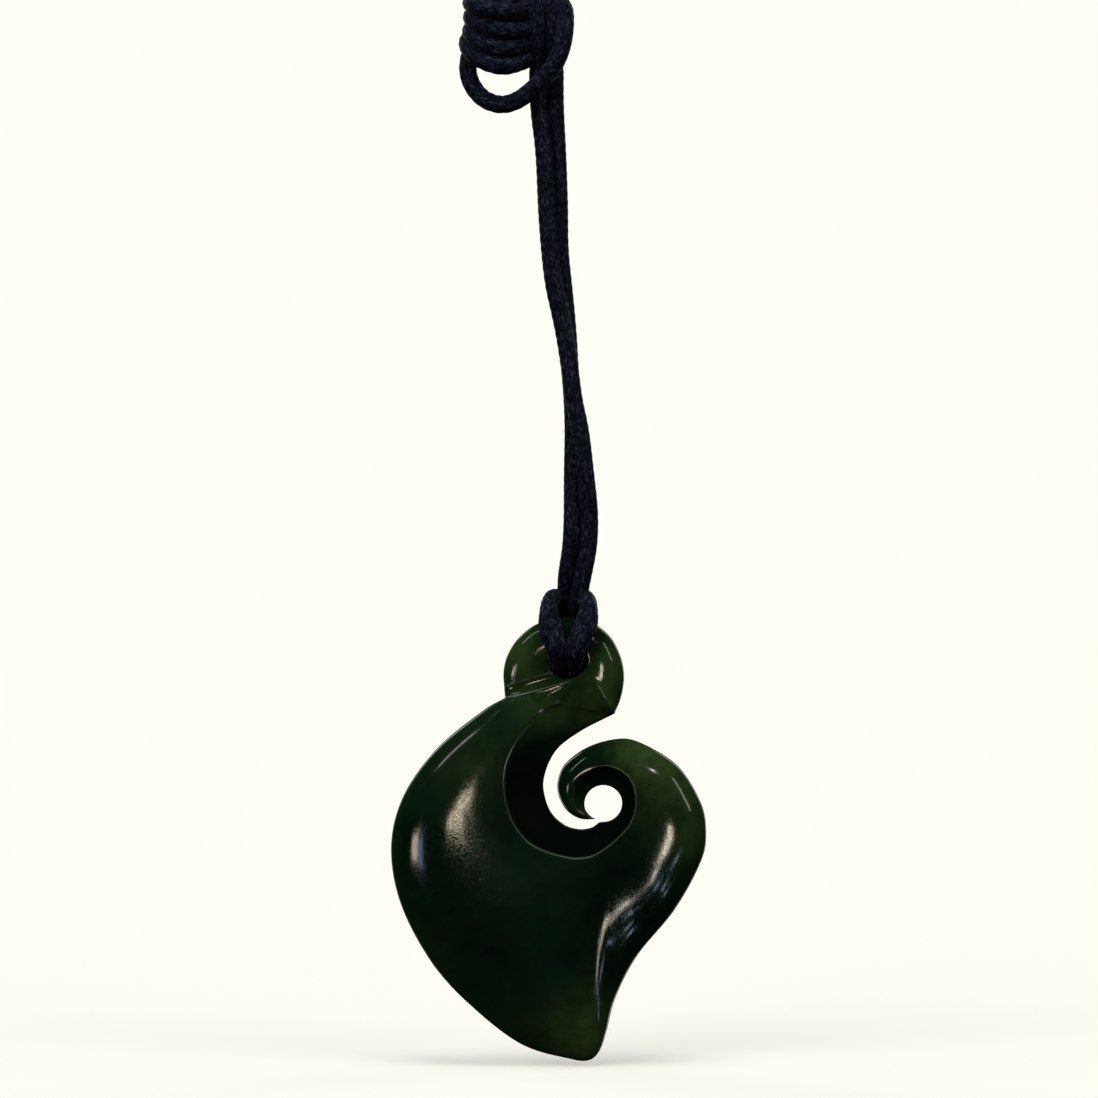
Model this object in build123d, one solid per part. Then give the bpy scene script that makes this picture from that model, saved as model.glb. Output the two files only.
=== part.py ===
from build123d import *
from collections import namedtuple
import math
import os

os.makedirs("parts", exist_ok=True)

# Koru pendant necklace. Millimetres, +Z up, the carved face looks along -Y.
# The origin is where the clasp rests on the nape, and everything hangs below it.

# Stone
PENDANT_WIDTH = 31.5
PENDANT_HEIGHT = 44.3
BODY_THICKNESS = 7.0
HEAD_THICKNESS = 4.2
LOBE_STEP = 0.7  # how far the head's left lobe lies under the neck that laps over it
RIM_ROUND = 0.35  # how far the worn rim of the bail hole is rounded back
EDGE_THICKNESS = 0.3
BAIL_HOLE_DIAMETER = 3.6
CURL_HOLE_DIAMETER = 3.78
PENDANT_LEFT = -15.7
PENDANT_BOTTOM = -223.0

# Cord and what is on it
CORD_DIAMETER = 1.7
CORD_GAP = 0.05  # between the slack loop and the knot that it comes out of
CORD_BEND = 0.45  # share of the shorter run that an arc of the cord takes up
KNOT_WIDTH = 11.4
KNOT_DEPTH = 7.4
KNOT_TOP = -115.8
KNOT_BOTTOM = -124.5
KNOT_CENTRE = -3.2
KNOT_TURNS = 5
KNOT_GROOVE = 0.3
KNOT_TAPER = 0.55  # how much the knot's first and last turns draw in
TURN_SHARES = (0.0, 0.3, 0.7)  # of a turn's height: its groove, then its full width twice
CLASP_LENGTH = 22.0
CLASP_DIAMETER = 4.2
CLASP_COLLAR = 3.0
CLASP_WAIST = 0.4  # how far the barrel is turned down between its collars
CLASP_ROUND = 0.5

# Fineness of the carved surface
STEPS_PER_STATION = 2
FLUTE_STEPS = 4
DOME_STEPS = 7
HEAD_STEPS_PER_ROW = 2
SPOKE_SHARES = (0.0, 0.1, 0.3, 0.52, 0.72, 0.88)  # from the bail hole to the head's edge
FLAT_FACE = 1e-7  # square mm, under which a triangle has closed up at a point

# The band of stone is cut into sections, numbered by station from the neck, down the left
# side, past the tip, up the right side and round the curl to the tongue's end.
# Across and up are shares of the pendant's width and height, from its left and its tip.
Place = namedtuple("Place", "station across up")
OUTLINE = [
    Place(0, 0.362, 0.819),
    Place(1, 0.292, 0.790),
    Place(3, 0.140, 0.700),
    Place(4.5, 0.038, 0.596),
    Place(6, 0.000, 0.483),
    Place(7.5, 0.029, 0.357),
    Place(9, 0.124, 0.226),
    Place(10, 0.232, 0.138),
    Place(11.5, 0.408, 0.039),
    Place(13, 0.572, 0.003),
    Place(14, 0.630, 0.001),
    Place(15, 0.663, 0.023),
    Place(16, 0.683, 0.063),
    Place(17.5, 0.714, 0.144),
    Place(19, 0.784, 0.239),
    Place(20.5, 0.905, 0.345),
    Place(22, 0.990, 0.460),
    Place(23, 1.000, 0.530),
    Place(24, 0.981, 0.587),
    Place(25.5, 0.911, 0.665),
    Place(27, 0.806, 0.714),
    Place(28, 0.733, 0.727),
    Place(29.5, 0.629, 0.709),
    Place(31, 0.552, 0.669),
    Place(32, 0.529, 0.630),
    Place(33, 0.533, 0.596),
    Place(34, 0.559, 0.564),
    Place(35, 0.594, 0.547),
    Place(36, 0.633, 0.541),
]
RIDGE = [
    Place(0, 0.537, 0.806),
    Place(1, 0.479, 0.786),
    Place(3, 0.394, 0.718),
    Place(5, 0.359, 0.641),
    Place(7, 0.378, 0.555),
    Place(9, 0.441, 0.494),
    Place(12, 0.556, 0.463),
    Place(15, 0.629, 0.464),
    Place(17, 0.673, 0.480),
    Place(19, 0.717, 0.505),
    Place(21, 0.759, 0.540),
    Place(23, 0.776, 0.587),
    Place(25, 0.759, 0.637),
    Place(27, 0.702, 0.665),
    Place(29, 0.638, 0.661),
    Place(31, 0.587, 0.628),
    Place(33, 0.584, 0.580),
    Place(35, 0.616, 0.549),
    Place(36, 0.633, 0.541),
]
SLOT_WALL = [
    Place(0, 0.710, 0.783),
    Place(2, 0.600, 0.743),
    Place(4, 0.521, 0.698),
    Place(6, 0.484, 0.630),
    Place(8, 0.502, 0.567),
    Place(10, 0.546, 0.533),
    Place(12, 0.594, 0.521),
    Place(14, 0.635, 0.524),
    Place(16, 0.660, 0.535),
]
# The head's edge, clockwise from the lapped left lobe to the corner of the neck.
HEAD_EDGE = [
    Place(0, 0.359, 0.844),
    Place(1, 0.357, 0.876),
    Place(2, 0.368, 0.912),
    Place(3, 0.400, 0.950),
    Place(4, 0.454, 0.982),
    Place(5, 0.524, 0.998),
    Place(6, 0.587, 1.000),
    Place(7, 0.648, 0.986),
    Place(8, 0.698, 0.955),
    Place(9, 0.730, 0.910),
    Place(10, 0.740, 0.865),
    Place(11, 0.730, 0.819),
    Place(12, 0.710, 0.783),
]
# Ridge and wall are shares of half the body's thickness, and so is the flute's hollow
# below a straight line between them.
Relief = namedtuple("Relief", "station ridge wall hollow")
RELIEF = [
    Relief(0, 0.68, 0.10, -0.26),
    Relief(2, 0.82, 0.30, 0.02),
    Relief(4, 0.93, 0.40, 0.14),
    Relief(7, 0.97, 0.42, 0.17),
    Relief(13, 0.97, 0.42, 0.15),
    Relief(19, 0.94, 0.42, 0.10),
    Relief(24, 0.82, 0.40, 0.08),
    Relief(28, 0.68, 0.34, 0.06),
    Relief(32, 0.54, 0.27, 0.03),
    Relief(35, 0.38, 0.20, 0.00),
    Relief(36, 0.20, 0.20, 0.00),
]
BAIL_CENTRE = Place(0, 0.562, 0.903)
CURL_CENTRE = Place(0, 0.669, 0.580)
HOLE_FIRST = 16  # the station where the slot's wall runs into the curl's round hole
HOLE_START = 262.0  # degrees, where that station lies on the hole
HOLE_TURN = 334.0
TONGUE_CLOSE = 34  # from here the hole's side draws in to the tongue's point
LAST_STATION = 36
DOME_FULLNESS = 2.6
DOME_CROWN = 0.05
HEAD_FULLNESS = 2.6
LOBE_RISE = 0.35  # share of the way round the head over which the lobe comes up to full height
HEAD_SWIRL = 60.0  # degrees that the head's carving turns from its edge to the bail hole

# Routes of the cord's centre line
HITCH_ROUTE = [
    (1.13, 0.0, -183.0),
    (1.13, -3.15, -183.0),
    (0.5, -3.05, -180.0),
    (-0.4, -2.0, -178.0),
    (-0.65, -0.1, -177.0),
    (-0.55, 1.9, -177.1),
    (0.2, 3.2, -177.3),
    (2.0, 3.35, -177.2),
    (3.8, 3.2, -177.3),
    (4.8, 1.9, -177.1),
    (4.9, -0.1, -177.0),
    (4.5, -2.0, -178.0),
    (3.5, -3.05, -180.0),
    (2.87, -3.15, -183.0),
    (2.87, 0.0, -183.0),
]
LEFT_LEG_ROUTE = [
    (-1.05, 0.0, KNOT_BOTTOM),
    (-1.05, 0.0, -128.5),
    (-0.35, -0.6, -134.5),
    (0.1, -0.75, -141.5),
    (1.2, -0.9, -148.5),
    (2.2, -0.95, -154.5),
    (3.3, -0.8, -160.5),
    (4.05, -0.4, -166.0),
    (4.25, 0.1, -170.0),
    (3.6, 0.55, -174.2),
    (3.05, 1.05, -176.6),
    (2.9, 1.45, -178.0),
    (2.9, 3.05, -179.9),
    (2.87, 3.15, -183.0),
    (2.87, 0.0, -183.0),
]
RIGHT_LEG_ROUTE = [
    (0.75, 0.0, KNOT_BOTTOM),
    (0.75, 0.0, -128.5),
    (1.1, 0.6, -134.5),
    (1.25, 0.75, -141.5),
    (1.8, 0.9, -148.5),
    (2.2, 0.95, -154.5),
    (2.5, 0.8, -160.5),
    (2.4, 0.4, -166.0),
    (2.2, 0.1, -170.0),
    (1.75, 0.55, -174.2),
    (1.2, 1.05, -176.6),
    (1.1, 1.45, -178.0),
    (1.1, 3.05, -179.9),
    (1.13, 3.15, -183.0),
    (1.13, 0.0, -183.0),
]
SLACK_LOOP_ROUTE = [
    (-7.6, 0.1, -121.6),
    (-8.1, -0.1, -123.5),
    (-7.7, -0.5, -125.5),
    (-6.5, -0.9, -127.0),
    (-4.6, -1.3, -127.6),
    (-2.9, -1.7, -127.1),
    (-1.5, -2.0, -126.1),
    (-0.2, -2.2, -124.9),
    (0.9, -2.2, -123.5),
    (1.6, -1.8, -121.9),
    (1.7, -1.1, -120.4),
]
CLASP_AXIS = CLASP_DIAMETER / 2
LEFT_NECK_ROUTE = [
    (-4.2, 0.0, KNOT_TOP),
    (-4.2, 0.0, -111.3),
    (-8.4, 0.1, -106.6),
    (-18.0, 0.3, -102.3),
    (-33.0, 0.5, -96.2),
    (-50.0, 0.6, -86.5),
    (-65.0, 0.5, -70.5),
    (-73.5, 0.2, -49.5),
    (-75.0, -0.2, -27.0),
    (-68.5, -0.4, -9.0),
    (-53.0, -0.3, 0.3),
    (-31.0, 0.0, CLASP_AXIS),
    (-CLASP_LENGTH / 2, 0.0, CLASP_AXIS),
]
RIGHT_NECK_ROUTE = [
    (-2.2, 0.0, KNOT_TOP),
    (-2.2, 0.0, -111.3),
    (1.6, -0.1, -106.5),
    (11.4, -0.3, -102.8),
    (27.0, -0.4, -97.4),
    (45.5, -0.4, -88.3),
    (62.5, -0.3, -72.5),
    (72.8, -0.1, -50.5),
    (75.0, 0.2, -27.0),
    (68.5, 0.4, -9.0),
    (53.0, 0.3, 0.3),
    (31.0, 0.0, CLASP_AXIS),
    (CLASP_LENGTH / 2, 0.0, CLASP_AXIS),
]


def follow(rows, station):
    """The row of a table at any station, on a smooth curve through the rows."""
    last = len(rows) - 2
    i = min(last, max(k for k in range(len(rows)) if k == 0 or rows[k].station <= station))
    here, there = rows[i], rows[i + 1]
    before = rows[max(i - 1, 0)]
    after = rows[min(i + 2, len(rows) - 1)]
    span = there.station - here.station
    t = (station - here.station) / span
    values = [station]
    for a, b, c, d in list(zip(before, here, there, after))[1:]:
        slope_here = (c - a) / (there.station - before.station)
        slope_there = (d - b) / (after.station - here.station)
        values.append(
            b * (2 * t**3 - 3 * t**2 + 1)
            + c * (3 * t**2 - 2 * t**3)
            + span * (slope_here * (t**3 - 2 * t**2 + t) + slope_there * (t**3 - t**2))
        )
    return type(here)(*values)


def on_plan(place):
    """A place's x and z in the necklace."""
    return (
        PENDANT_LEFT + place.across * PENDANT_WIDTH,
        PENDANT_BOTTOM + place.up * PENDANT_HEIGHT,
    )


def between(a, b, share):
    """The point that lies a share of the way from a to b."""
    return tuple(p + share * (q - p) for p, q in zip(a, b))


def inner_edge(station):
    """Where the slot or the curl's hole bounds the band of stone, as x and z."""
    if station < HOLE_FIRST:
        return on_plan(follow(SLOT_WALL, station))
    share = (station - HOLE_FIRST) / (LAST_STATION - HOLE_FIRST)
    angle = math.radians(HOLE_START + share * HOLE_TURN)
    centre = on_plan(CURL_CENTRE)
    radius = CURL_HOLE_DIAMETER / 2
    round_hole = (centre[0] + radius * math.cos(angle), centre[1] + radius * math.sin(angle))
    point = on_plan(OUTLINE[-1])
    closing = max(0.0, (station - TONGUE_CLOSE) / (LAST_STATION - TONGUE_CLOSE))
    return between(round_hole, point, closing**2)


def band_section(station):
    """Half the stone's section, as (x, z, half thickness) from the slot to the outline.

    The flute hollows out in a parabola up to the ridge, and the dome falls from the ridge
    to the thin edge as a full ellipse, with a little crown between.
    """
    half_body = BODY_THICKNESS / 2
    edge = EDGE_THICKNESS / 2
    inner = inner_edge(station)
    crest = on_plan(follow(RIDGE, station))
    outer = on_plan(follow(OUTLINE, station))
    relief = follow(RELIEF, station)
    section = []
    for k in range(FLUTE_STEPS):
        t = k / FLUTE_STEPS
        straight = relief.wall + (relief.ridge - relief.wall) * t
        height = half_body * (straight - relief.hollow * 4 * t * (1 - t))
        section.append((*between(inner, crest, t), height))
    for k in range(DOME_STEPS + 1):
        t = math.sin(k / DOME_STEPS * math.pi / 2)
        fall = math.sqrt(max(0.0, 1 - t**DOME_FULLNESS))
        crown = DOME_CROWN * 4 * t * (1 - t) * half_body
        height = edge + (half_body * relief.ridge - edge) * fall + crown
        section.append((*between(crest, outer, t), height))
    return section


def head_spoke(start, turned, lobe):
    """The head's section from the bail hole out to a point (x, z, half thickness) of its bound.

    The swirl is strongest at both ends of the way round and fades between them. The section
    is a full ellipse where the bound is a thin edge, and runs on straight into the neck.
    """
    centre = on_plan(BAIL_CENTRE)
    radius = BAIL_HOLE_DIAMETER / 2
    out = math.degrees(math.atan2(start[1] - centre[1], start[0] - centre[0]))
    angle = math.radians(out + HEAD_SWIRL * (2 * turned - 1) ** 2)
    rim = (centre[0] + radius * math.cos(angle), centre[1] + radius * math.sin(angle))
    bound = start[2]
    low = lobe * LOBE_STEP
    top = HEAD_THICKNESS / 2 - low
    joined = min(1.0, bound / (HEAD_THICKNESS / 2))
    spoke = []
    for t in SPOKE_SHARES:
        height = bound + (top - bound) * (1 - t**HEAD_FULLNESS) ** (1 / (2 - joined))
        if t == 0:
            height -= RIM_ROUND
        spoke.append((*between(rim, start[:2], t), height))
    spoke.append(start)
    return spoke


def head_spokes(neck):
    """Spokes clockwise round the head, from the lapped lobe to the neck's left end."""
    edge = EDGE_THICKNESS / 2
    rows = len(HEAD_EDGE) - 1
    bound = []
    for k in range(rows * HEAD_STEPS_PER_ROW):
        bound.append((*on_plan(follow(HEAD_EDGE, k / HEAD_STEPS_PER_ROW)), edge))
    bound += neck
    centre = on_plan(BAIL_CENTRE)
    outs = [math.atan2(z - centre[1], x - centre[0]) for x, z, _ in bound]
    turns = [0.0]
    for a, b in zip(outs, outs[1:]):
        turns.append(turns[-1] + (a - b) % (2 * math.pi))
    spokes = []
    for start, turn in zip(bound, turns):
        turned = turn / turns[-1]
        lobe = max(0.0, 1 - turned / LOBE_RISE) ** 2
        spokes.append(head_spoke(start, turned, lobe))
    return spokes


def quilt(rows, closed):
    """Triangles between rows of points, on the front and, turned round, on the back."""
    pairs = list(zip(rows, rows[1:] + rows[:1])) if closed else list(zip(rows, rows[1:]))
    triangles = []
    for side in (-1, 1):
        for one, two in pairs:
            for k in range(len(one) - 1):
                a, b, c, d = (
                    Vector(x, side * y, z)
                    for x, z, y in (one[k], one[k + 1], two[k + 1], two[k])
                )
                for corners in ((a, b, c), (a, c, d)):
                    triangles.append(corners if side < 0 else corners[::-1])
    return triangles


def rim_strip(line, closed):
    """Triangles that join the front of an edge to its back."""
    pairs = list(zip(line, line[1:] + line[:1])) if closed else list(zip(line, line[1:]))
    triangles = []
    for (ax, az, ay), (bx, bz, by) in pairs:
        front_a, front_b = Vector(ax, -ay, az), Vector(bx, -by, bz)
        back_a, back_b = Vector(ax, ay, az), Vector(bx, by, bz)
        triangles += [(front_a, back_b, front_b), (front_a, back_a, back_b)]
    return triangles


def carved_stone():
    """The pendant, as one closed solid of small flat faces."""
    count = LAST_STATION * STEPS_PER_STATION
    band = [band_section(k / STEPS_PER_STATION) for k in range(count + 1)]
    tip_x, tip_z = on_plan(OUTLINE[-1])
    tip_half = BODY_THICKNESS / 2 * RELIEF[-1].wall
    band[-1] = [(tip_x, tip_z, tip_half)] * len(band[-1])
    spokes = head_spokes(band[0])
    edge_spokes = (len(HEAD_EDGE) - 1) * HEAD_STEPS_PER_ROW
    head_line = [s[-1] for s in spokes[: edge_spokes + 1]]
    lobe_line = [spokes[-1][-1], spokes[0][-1]]
    triangles = quilt(band, closed=False)
    triangles += quilt(spokes, closed=True)
    triangles += rim_strip([s[0] for s in band], closed=False)
    triangles += rim_strip([s[-1] for s in band][::-1], closed=False)
    triangles += rim_strip(lobe_line + head_line[1:], closed=False)
    triangles += rim_strip([s[0] for s in spokes][::-1], closed=True)
    faces = []
    for a, b, c in triangles:
        if (b - a).cross(c - a).length > FLAT_FACE:
            faces.append(Face(Wire.make_polygon([a, b, c])))
    return Solid(Shell(faces))


def bend_radii(points):
    """The arc at each corner of a route, as large as its two runs allow."""
    radii = []
    for a, b, c in zip(points, points[1:], points[2:]):
        run_in = Vector(*b) - Vector(*a)
        run_out = Vector(*c) - Vector(*b)
        half_turn = math.radians(run_in.get_angle(run_out)) / 2
        radii.append(CORD_BEND * min(run_in.length, run_out.length) / math.tan(half_turn))
    return radii


def cord_path(points):
    """Straight runs joined by tangent arcs."""
    return FilletPolyline(*points, radius=bend_radii(points))


def tube_along(path, diameter):
    """A round tube with its ends square to the path."""
    section = Plane(origin=path @ 0, z_dir=path % 0) * Circle(diameter / 2)
    return sweep(section, path=path)


def cord_tube(name, points):
    """A round cord along its route, with its length, volume and arcs printed."""
    path = cord_path(points)
    tube = tube_along(path, CORD_DIAMETER)
    expected = math.pi * CORD_DIAMETER**2 / 4 * path.length
    radii = ", ".join(f"{radius:.1f}" for radius in bend_radii(points))
    print(f"{name}: length {path.length:.1f} mm, volume {tube.volume / expected:.4f} of section")
    print(f"  times length, radii {radii}")
    return tube


def knot_section(turns, groove):
    """The knot's oval so many turns above its bottom, drawn in by a groove."""
    level = turns / KNOT_TURNS
    swell = math.sqrt(1 - KNOT_TAPER * (2 * level - 1) ** 4)
    centre = (KNOT_CENTRE, 0, KNOT_BOTTOM + (KNOT_TOP - KNOT_BOTTOM) * level)
    oval = Ellipse(KNOT_WIDTH / 2 * swell - groove, KNOT_DEPTH / 2 * swell - groove)
    return Plane(origin=centre) * oval


def gathering_knot():
    """The knot's outer form: stacked turns of cord, drawn in where one turn meets the next.

    The slack loop's ends lie in pockets of the knot.
    """
    sections = []
    for turn in range(KNOT_TURNS):
        for share in TURN_SHARES:
            groove = KNOT_GROOVE if share == 0 else 0.0
            sections.append(knot_section(turn + share, groove))
    sections.append(knot_section(KNOT_TURNS, KNOT_GROOVE))
    pockets = tube_along(cord_path(SLACK_LOOP_ROUTE), CORD_DIAMETER + 2 * CORD_GAP)
    return loft(sections, ruled=True) - pockets


def barrel_clasp():
    """A plain turned barrel along X, with a collar at each end."""
    near = Plane(origin=(-CLASP_LENGTH / 2, 0, CLASP_AXIS), z_dir=(1, 0, 0))
    far = Plane(origin=(CLASP_LENGTH / 2 - CLASP_COLLAR, 0, CLASP_AXIS), z_dir=(1, 0, 0))
    clasp = extrude(near * Circle(CLASP_DIAMETER / 2 - CLASP_WAIST), CLASP_LENGTH)
    for end in (near, far):
        clasp += extrude(end * Circle(CLASP_DIAMETER / 2), CLASP_COLLAR)
    ends = clasp.faces().sort_by(Axis.X)
    rims = ends[0].edges() + ends[-1].edges()
    return fillet(rims, CLASP_ROUND)


nodes = {
    "pendant": carved_stone(),
    "cord_hitch": cord_tube("cord_hitch", HITCH_ROUTE),
    "cord_leg_left": cord_tube("cord_leg_left", LEFT_LEG_ROUTE),
    "cord_leg_right": cord_tube("cord_leg_right", RIGHT_LEG_ROUTE),
    "cord_knot": gathering_knot(),
    "cord_slack_loop": cord_tube("cord_slack_loop", SLACK_LOOP_ROUTE),
    "neck_cord_left": cord_tube("neck_cord_left", LEFT_NECK_ROUTE),
    "neck_cord_right": cord_tube("neck_cord_right", RIGHT_NECK_ROUTE),
    "barrel_clasp": barrel_clasp(),
}

for name, solid in nodes.items():
    export_step(solid, f"parts/{name}.step")
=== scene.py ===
"""Koru pendant necklace: carved stone, braided cord and clasp, in metres with +Z up."""
import logging
import math
from dataclasses import dataclass, field
from enum import Enum
from typing import Callable, NamedTuple, Sequence

import bmesh
import bpy
import numpy as np
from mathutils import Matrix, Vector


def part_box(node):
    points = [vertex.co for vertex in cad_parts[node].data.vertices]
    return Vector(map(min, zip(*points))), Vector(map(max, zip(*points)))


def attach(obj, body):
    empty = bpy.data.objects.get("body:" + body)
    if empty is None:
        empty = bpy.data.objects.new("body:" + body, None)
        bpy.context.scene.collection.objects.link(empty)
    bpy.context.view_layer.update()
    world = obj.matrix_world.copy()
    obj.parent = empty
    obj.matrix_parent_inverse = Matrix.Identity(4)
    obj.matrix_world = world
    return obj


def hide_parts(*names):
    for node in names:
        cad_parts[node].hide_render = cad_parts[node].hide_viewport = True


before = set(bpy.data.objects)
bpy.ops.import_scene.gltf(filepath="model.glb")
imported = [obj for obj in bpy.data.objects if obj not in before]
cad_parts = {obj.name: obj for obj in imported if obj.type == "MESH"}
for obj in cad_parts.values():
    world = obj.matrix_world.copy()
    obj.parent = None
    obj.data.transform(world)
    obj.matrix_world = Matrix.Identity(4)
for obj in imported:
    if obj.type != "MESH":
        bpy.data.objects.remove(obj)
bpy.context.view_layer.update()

LOG = logging.getLogger("koru")
MM = 0.001
TINY = 1e-9
FRONT = -1.0

# The carved stone, by station from the neck, down the left side, past the tip, up the right
# side and round the curl to the tongue's end. Shares of the pendant's width and height.
OUTLINE = np.array([
    (0, 0.362, 0.819), (1, 0.292, 0.790), (3, 0.140, 0.700), (4.5, 0.038, 0.596),
    (6, 0.000, 0.483), (7.5, 0.029, 0.357), (9, 0.124, 0.226), (10, 0.232, 0.138),
    (11.5, 0.408, 0.039), (13, 0.572, 0.003), (14, 0.630, 0.001), (15, 0.663, 0.023),
    (16, 0.683, 0.063), (17.5, 0.714, 0.144), (19, 0.784, 0.239), (20.5, 0.905, 0.345),
    (22, 0.990, 0.460), (23, 1.000, 0.530), (24, 0.981, 0.587), (25.5, 0.911, 0.665),
    (27, 0.806, 0.714), (28, 0.733, 0.727), (29.5, 0.629, 0.709), (31, 0.552, 0.669),
    (32, 0.529, 0.630), (33, 0.533, 0.596), (34, 0.559, 0.564), (35, 0.601, 0.546),
    (36, 0.648, 0.545),
])
# The crisp ridge between the dome and the flute, then the slot's wall, by the same stations.
RIDGE = np.array([
    (0, 0.537, 0.806), (1, 0.479, 0.786), (3, 0.394, 0.718), (5, 0.359, 0.641),
    (7, 0.378, 0.555), (9, 0.441, 0.494), (12, 0.556, 0.463), (15, 0.629, 0.464),
    (17, 0.673, 0.480), (19, 0.717, 0.505), (21, 0.759, 0.540), (23, 0.776, 0.587),
    (25, 0.759, 0.637), (27, 0.702, 0.665), (29, 0.638, 0.661), (31, 0.587, 0.628),
    (33, 0.584, 0.580), (35, 0.622, 0.553), (36, 0.648, 0.545),
])
SLOT_WALL = np.array([
    (0, 0.710, 0.783), (2, 0.600, 0.743), (4, 0.521, 0.698), (6, 0.484, 0.630),
    (8, 0.502, 0.567), (10, 0.546, 0.533), (12, 0.594, 0.521), (14, 0.635, 0.524),
    (16, 0.660, 0.535),
])
# The head's edge, clockwise from the lapped left lobe to the corner of the neck.
HEAD_EDGE = np.array([
    (0, 0.359, 0.844), (1, 0.357, 0.876), (2, 0.368, 0.912), (3, 0.400, 0.950),
    (4, 0.454, 0.982), (5, 0.524, 0.998), (6, 0.587, 1.000), (7, 0.648, 0.986),
    (8, 0.698, 0.955), (9, 0.730, 0.910), (10, 0.740, 0.865), (11, 0.730, 0.819),
    (12, 0.710, 0.783),
])
# Station, then ridge, wall, the flute's hollow and the dome's crown as shares of half the
# body's thickness, and how strong the painted highlight along the ridge is.
RELIEF = np.array([
    (0, 0.66, 0.00, -0.26, 0.05, 0.10), (2, 0.80, 0.22, -0.10, 0.07, 0.35),
    (4, 0.91, 0.36, 0.08, 0.07, 0.45), (7, 0.94, 0.42, 0.17, 0.07, 0.30),
    (13, 0.95, 0.42, 0.15, 0.05, 0.50), (19, 0.92, 0.42, 0.10, 0.00, 0.45),
    (24, 0.81, 0.40, 0.08, 0.00, 0.50), (28, 0.68, 0.34, 0.06, 0.00, 0.20),
    (32, 0.54, 0.27, 0.03, 0.02, 0.00), (35, 0.38, 0.20, 0.00, 0.02, 0.00),
    (36, 0.20, 0.20, 0.00, 0.00, 0.00),
])


class Glow(NamedTuple):
    """A patch painted a lighter, yellower green, as light that comes through the stone.

    Its x and z are shares of the stone's width and height, and its reach is in millimetres.
    """

    x: float
    z: float
    reach: float
    strength: float


# Painted light: each glow paints the stone a lighter green, for light that comes through it.
GLOWS = {
    "lapped lobe": Glow(0.415, 0.905, 2.5, 0.60),
    "right of the hole": Glow(0.690, 0.870, 2.8, 0.65),
    "neck": Glow(0.500, 0.800, 3.0, 0.35),
    "neck corner": Glow(0.660, 0.800, 2.2, 0.45),
    "shoulder": Glow(0.260, 0.670, 4.0, 0.22),
    "curl's top": Glow(0.767, 0.690, 2.4, 0.35),
    "curl's shoulder": Glow(0.890, 0.640, 4.5, 0.60),
    "right edge": Glow(0.970, 0.500, 3.0, 0.40),
    "tongue": Glow(0.595, 0.565, 1.7, 0.30),
    "lower left edge": Glow(0.130, 0.250, 3.0, 0.12),
    "lower edge": Glow(0.415, 0.070, 2.5, 0.12),
    "tip": Glow(0.640, 0.050, 4.0, 1.00),
}

# Routes of the cord's centre line, in millimetres: down the left leg into the bail hole, out
# and round the head, back into the hole and up the right leg.
LEFT_LEG = [
    (-1.0, 0.0, -124.5), (-0.98, -0.1, -127.7), (-0.35, -0.62, -132.0),
    (-0.15, -0.7, -137.8), (0.15, -0.75, -141.9), (0.55, -0.8, -145.5),
    (1.25, -0.85, -148.5), (1.75, -0.88, -151.0), (2.2, -0.9, -154.0),
    (2.55, -0.88, -157.0), (3.25, -0.83, -160.0), (3.75, -0.6, -164.5),
    (4.1, -0.3, -167.5), (4.17, 0.0, -169.7), (4.02, 0.1, -172.0),
    (3.5, 0.3, -174.5), (3.15, 0.6, -176.3), (2.9, 1.3, -177.9),
    (2.95, 2.6, -179.4), (3.1, 3.4, -181.2), (3.15, 3.45, -183.0),
    (3.05, 2.5, -184.15), (2.9, 1.0, -183.75),
]
HITCH = [
    (2.75, -0.8, -183.35), (2.65, -2.3, -183.1), (2.62, -3.4, -182.2),
    (2.95, -3.45, -181.2), (3.45, -3.25, -180.3), (3.95, -2.75, -179.0),
    (4.1, -1.5, -177.7), (3.9, 0.1, -176.95), (3.6, 1.5, -176.75),
    (3.2, 2.75, -176.8), (2.55, 3.4, -176.85), (1.6, 3.4, -176.85),
    (0.95, 2.75, -176.8), (0.6, 1.5, -176.75), (0.35, 0.1, -176.95),
    (0.05, -1.5, -177.7), (0.12, -2.7, -179.0), (0.32, -3.25, -180.2),
    (0.65, -3.45, -181.2), (0.92, -3.4, -182.2), (1.0, -2.3, -183.1),
    (1.1, -0.8, -183.35),
]
RIGHT_LEG = [
    (0.7, 0.0, -124.5), (0.68, 0.1, -127.7), (0.95, 0.62, -132.0),
    (1.15, 0.7, -137.8), (1.15, 0.75, -141.9), (1.55, 0.8, -145.5),
    (1.85, 0.85, -148.5), (2.05, 0.88, -151.0), (2.2, 0.9, -154.0),
    (2.45, 0.88, -157.0), (2.55, 0.83, -160.0), (2.45, 0.6, -164.5),
    (2.45, 0.3, -167.5), (2.42, 0.1, -169.7), (2.28, 0.35, -172.0),
    (1.85, 1.0, -174.5), (1.8, 1.7, -176.3), (1.75, 2.5, -177.9),
    (1.55, 3.1, -179.4), (1.42, 3.45, -181.2), (1.5, 3.45, -183.0),
    (1.42, 2.5, -184.15), (1.25, 1.0, -183.75),
]
SLACK_LOOP = [
    (-7.0, 0.8, -120.6), (-7.8, 0.2, -122.2), (-8.1, -0.2, -124.0), (-7.6, -0.6, -125.7),
    (-6.4, -0.9, -127.1), (-4.6, -1.3, -127.7), (-2.9, -1.8, -127.2), (-1.5, -2.2, -126.1),
    (-0.2, -2.5, -124.9), (0.85, -2.9, -123.5), (1.45, -3.0, -121.9), (1.7, -2.8, -120.3),
    (1.75, -2.0, -118.8), (1.6, -0.8, -117.8), (1.3, 0.6, -117.4),
]
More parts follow.
